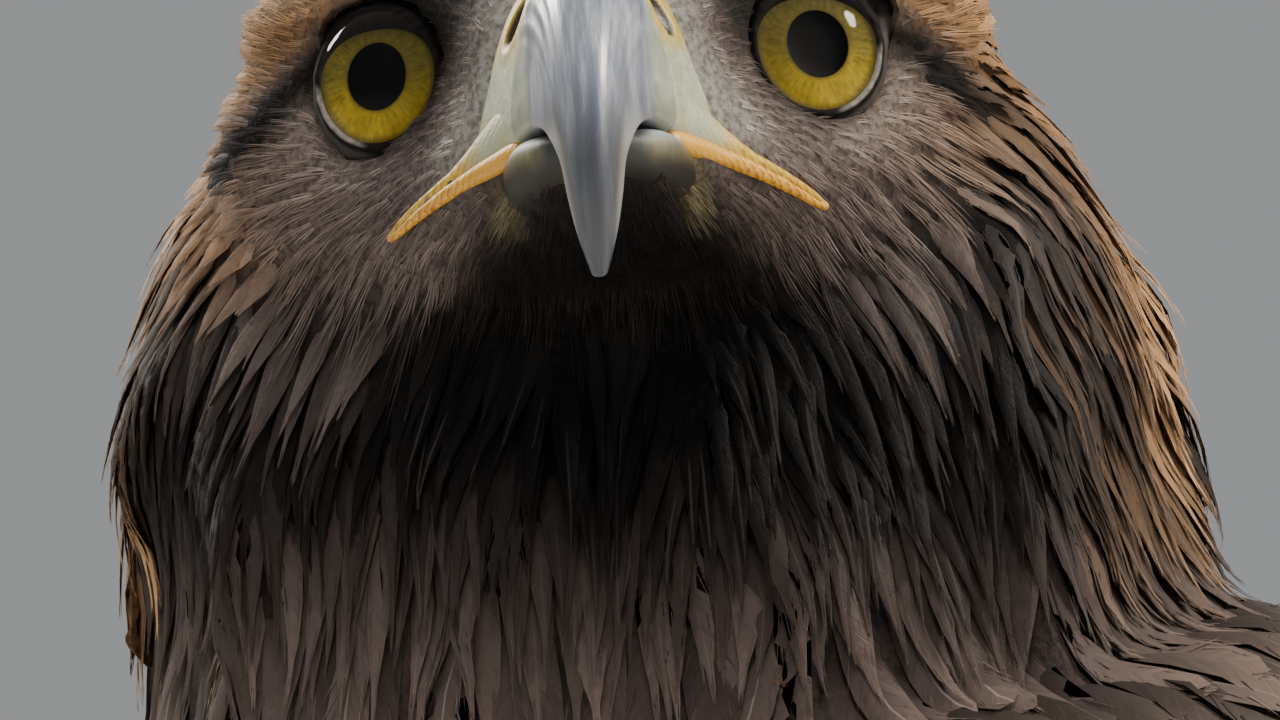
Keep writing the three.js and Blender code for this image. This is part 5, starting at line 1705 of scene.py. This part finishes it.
def small_covert_rows(side):
    """Rows that grow from the shoulder down: (a and b of the root, a and b of the tip, half width)."""
    small = []
    row_at, row = 0.0, 0
    while row_at < SMALL_COVERTS_END:
        grown = row_at / SMALL_COVERTS_END
        half = 5.2 + 6.3 * grown
        pace = np.linalg.norm(bare_wing(side, np.array(row_at + 0.01), np.array(0.5))
                              - bare_wing(side, np.array(row_at), np.array(0.5))) / 0.01
        count = int(wing_across(np.array(row_at)) / (half * 1.35))
        for k in range(count + 1):
            b = (k + 0.5 * (row % 2)) / count
            if b <= 1:
                b = b * 0.97 + 0.015 + rng.normal(0, 0.004)
                root = row_at + rng.normal(0, 0.0025)
                tip = root + half * rng.uniform(3.3, 3.8) / pace
                small.append((root, b, tip, b + rng.normal(0, 0.01), half))
        row_at += half * 1.5 / pace
        row += 1
    return np.clip(np.array(small), 0, 30)


def fan(side, count, row):
    """Rows of one tier, spread from 0 at the wing's upper edge to 1 at its lower one."""
    return [(side, *row(s)) for s in np.linspace(0, 1, count)]


for letter, side in SIDES.items():
    small = small_covert_rows(side)
    count = len(small)
    spine, up, across = over_wing(side, small, rng.uniform(2.6, 4.6, count))
    length = np.linalg.norm(np.diff(spine, axis=1), axis=2).sum(axis=1) / MM
    across = unit(across + up * rng.normal(0, 0.10, count)[:, None, None])
    body, tip = markings_and_shade(spine[:, 2], up[:, 2], all_of(WING, count), rng.uniform(0, 1, count))
    half = small[:, 4] * rng.uniform(0.95, 1.1, count)
    lay_feathers(f"wing_{letter}_small_coverts", "body_feather", body_paint, SHAPES["covert"],
                 spine, up, across, length, half, body, tip, root_places(spine[:, 0]))
    greater = fan(side, 13, lambda s: (0.34, 0.06 + 0.88 * s, 0.64 - 0.1 * s + rng.normal(0, 0.004),
                                       0.06 + 0.9 * s, 15, 17.5, 15, 1.8))
    median = fan(side, 13, lambda s: (0.24, 0.1 + 0.84 * s, 0.50 - 0.05 * s + rng.normal(0, 0.004),
                                      0.1 + 0.84 * s, 18, 22, 13, 1.4))
    between = fan(side, 15, lambda s: (0.29, 0.09 + 0.85 * s, 0.57 - 0.075 * s + rng.normal(0, 0.005),
                                       0.08 + 0.86 * s, 16.6, 19.8, 12.5, 1.6))
    second = fan(side, 11, lambda s: (0.38, 0.13 + 0.75 * s, 0.84 - 0.2 * s ** 1.3, 0.17 + 0.73 * s,
                                      9, 9.5, 15, 1.9))
    first = fan(side, 8, lambda s: (0.40, 0.4 + 0.52 * s, 0.88 + 0.12 * math.sin(2 * s), 0.14 + 0.7 * s,
                                    3, 3.2, 13, 1.7))
    wing_tier(f"wing_{letter}_large_coverts", "body_feather", body_paint, "covert",
              greater + between + median)
    wing_tier(f"wing_{letter}_secondary_quills", "flight_feather", flight_paint, "flight", second,
              [f"wing_{letter}_secondaries"])
    wing_tier(f"wing_{letter}_primary_quills", "flight_feather", flight_paint, "flight", first,
              [f"wing_{letter}_primaries"])

# %% [markdown]
# The tail is twelve long feathers, folded over each other, with soft feathers above and below its root. A
# single wedge would do from afar, but from behind the eye looks for the edges of the feathers. So they lie
# on a sloping surface, u from root to tip and v from side to side, a little arched across.

# %% Tail
TAIL_ROOT, TAIL_LENGTH, TAIL_SLOPE = (158, 197), 318, math.radians(33.5)
TAIL_ARCH = 420
SLOPE_COS, SLOPE_SIN = math.cos(TAIL_SLOPE), math.sin(TAIL_SLOPE)


def over_tail(u, v, height):
    along, up = u * TAIL_LENGTH, height - v * v / TAIL_ARCH
    points = np.stack([v, TAIL_ROOT[0] + along * SLOPE_COS + up * SLOPE_SIN,
                       TAIL_ROOT[1] - along * SLOPE_SIN + up * SLOPE_COS], axis=-1)
    return (points - CENTRED) * MM


def tail_tier(name, slot, material, shapes, rows, colours, replaced=(), facing=1):
    """rows of (u, v and height of root and tip, half width, tilt). facing is -1 where seen from below."""
    rows = np.array(rows, float)
    t = np.linspace(0, 1, SPINE)
    u, v, height = (rows[:, k, None] + (rows[:, k + 3, None] - rows[:, k, None]) * t for k in range(3))
    spine = over_tail(u, v, height)
    sloping = v / (TAIL_ARCH / 2)
    up = unit(np.stack([sloping, np.full_like(v, SLOPE_SIN), np.full_like(v, SLOPE_COS)], axis=-1)) * facing
    side = unit(np.cross(up, unit(np.gradient(spine, axis=1))))
    length = np.linalg.norm(np.diff(spine, axis=1), axis=2).sum(axis=1) / MM
    body, tip = (np.tile(colour, (len(rows), 1)) for colour in colours)
    lay_feathers(name, slot, material, SHAPES[shapes], spine, up, side, length, rows[:, 6], body, tip,
                 root_places(spine[:, 0]), tilt=rows[:, 7])
    if replaced:
        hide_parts(*replaced)


tail_rows, rump, vent = [], [], []
for side in SIDES.values():
    for k in range(6):
        level = 3 - 1.2 * (2 * k + (side < 0))
        tail_rows.append((0.06, side * (2 + 1.2 * k), level,
                          1 - 0.0048 * k * k, side * (5 + 9.2 * k), level, 24, 0))
for row in range(5):
    for k in range(6 + row % 2):
        s = (k + 0.5 * (row % 2 == 0)) / 6 * 2 - 1 + rng.normal(0, 0.03)
        u = -0.10 + 0.05 * row + rng.normal(0, 0.006)
        reach = 0.26 * (1 - 0.14 * s * s) * rng.uniform(0.95, 1.05)
        rump.append((u, 17 * s, -2, u + reach, 24 * s, 8.5 - 0.9 * row + 0.2 * k, 12, 0))
        vent.append((u, 17 * s, -7, u + reach * 1.15, 22 * s, -18 + 0.8 * row - 0.2 * k, 12, 0))
tail_tier("tail_quills", "flight_feather", flight_paint, "flight", tail_rows,
          ((0.036, 0.028, 0.024), (0.026, 0.02, 0.018)), ["tail"])
tail_tier("rump_feathers", "body_feather", body_paint, "covert", rump,
          ((0.055, 0.039, 0.030), (0.10, 0.072, 0.055)))
tail_tier("vent_feathers", "body_feather", body_paint, "covert", vent,
          ((0.060, 0.038, 0.025), (0.105, 0.068, 0.044)), facing=-1)
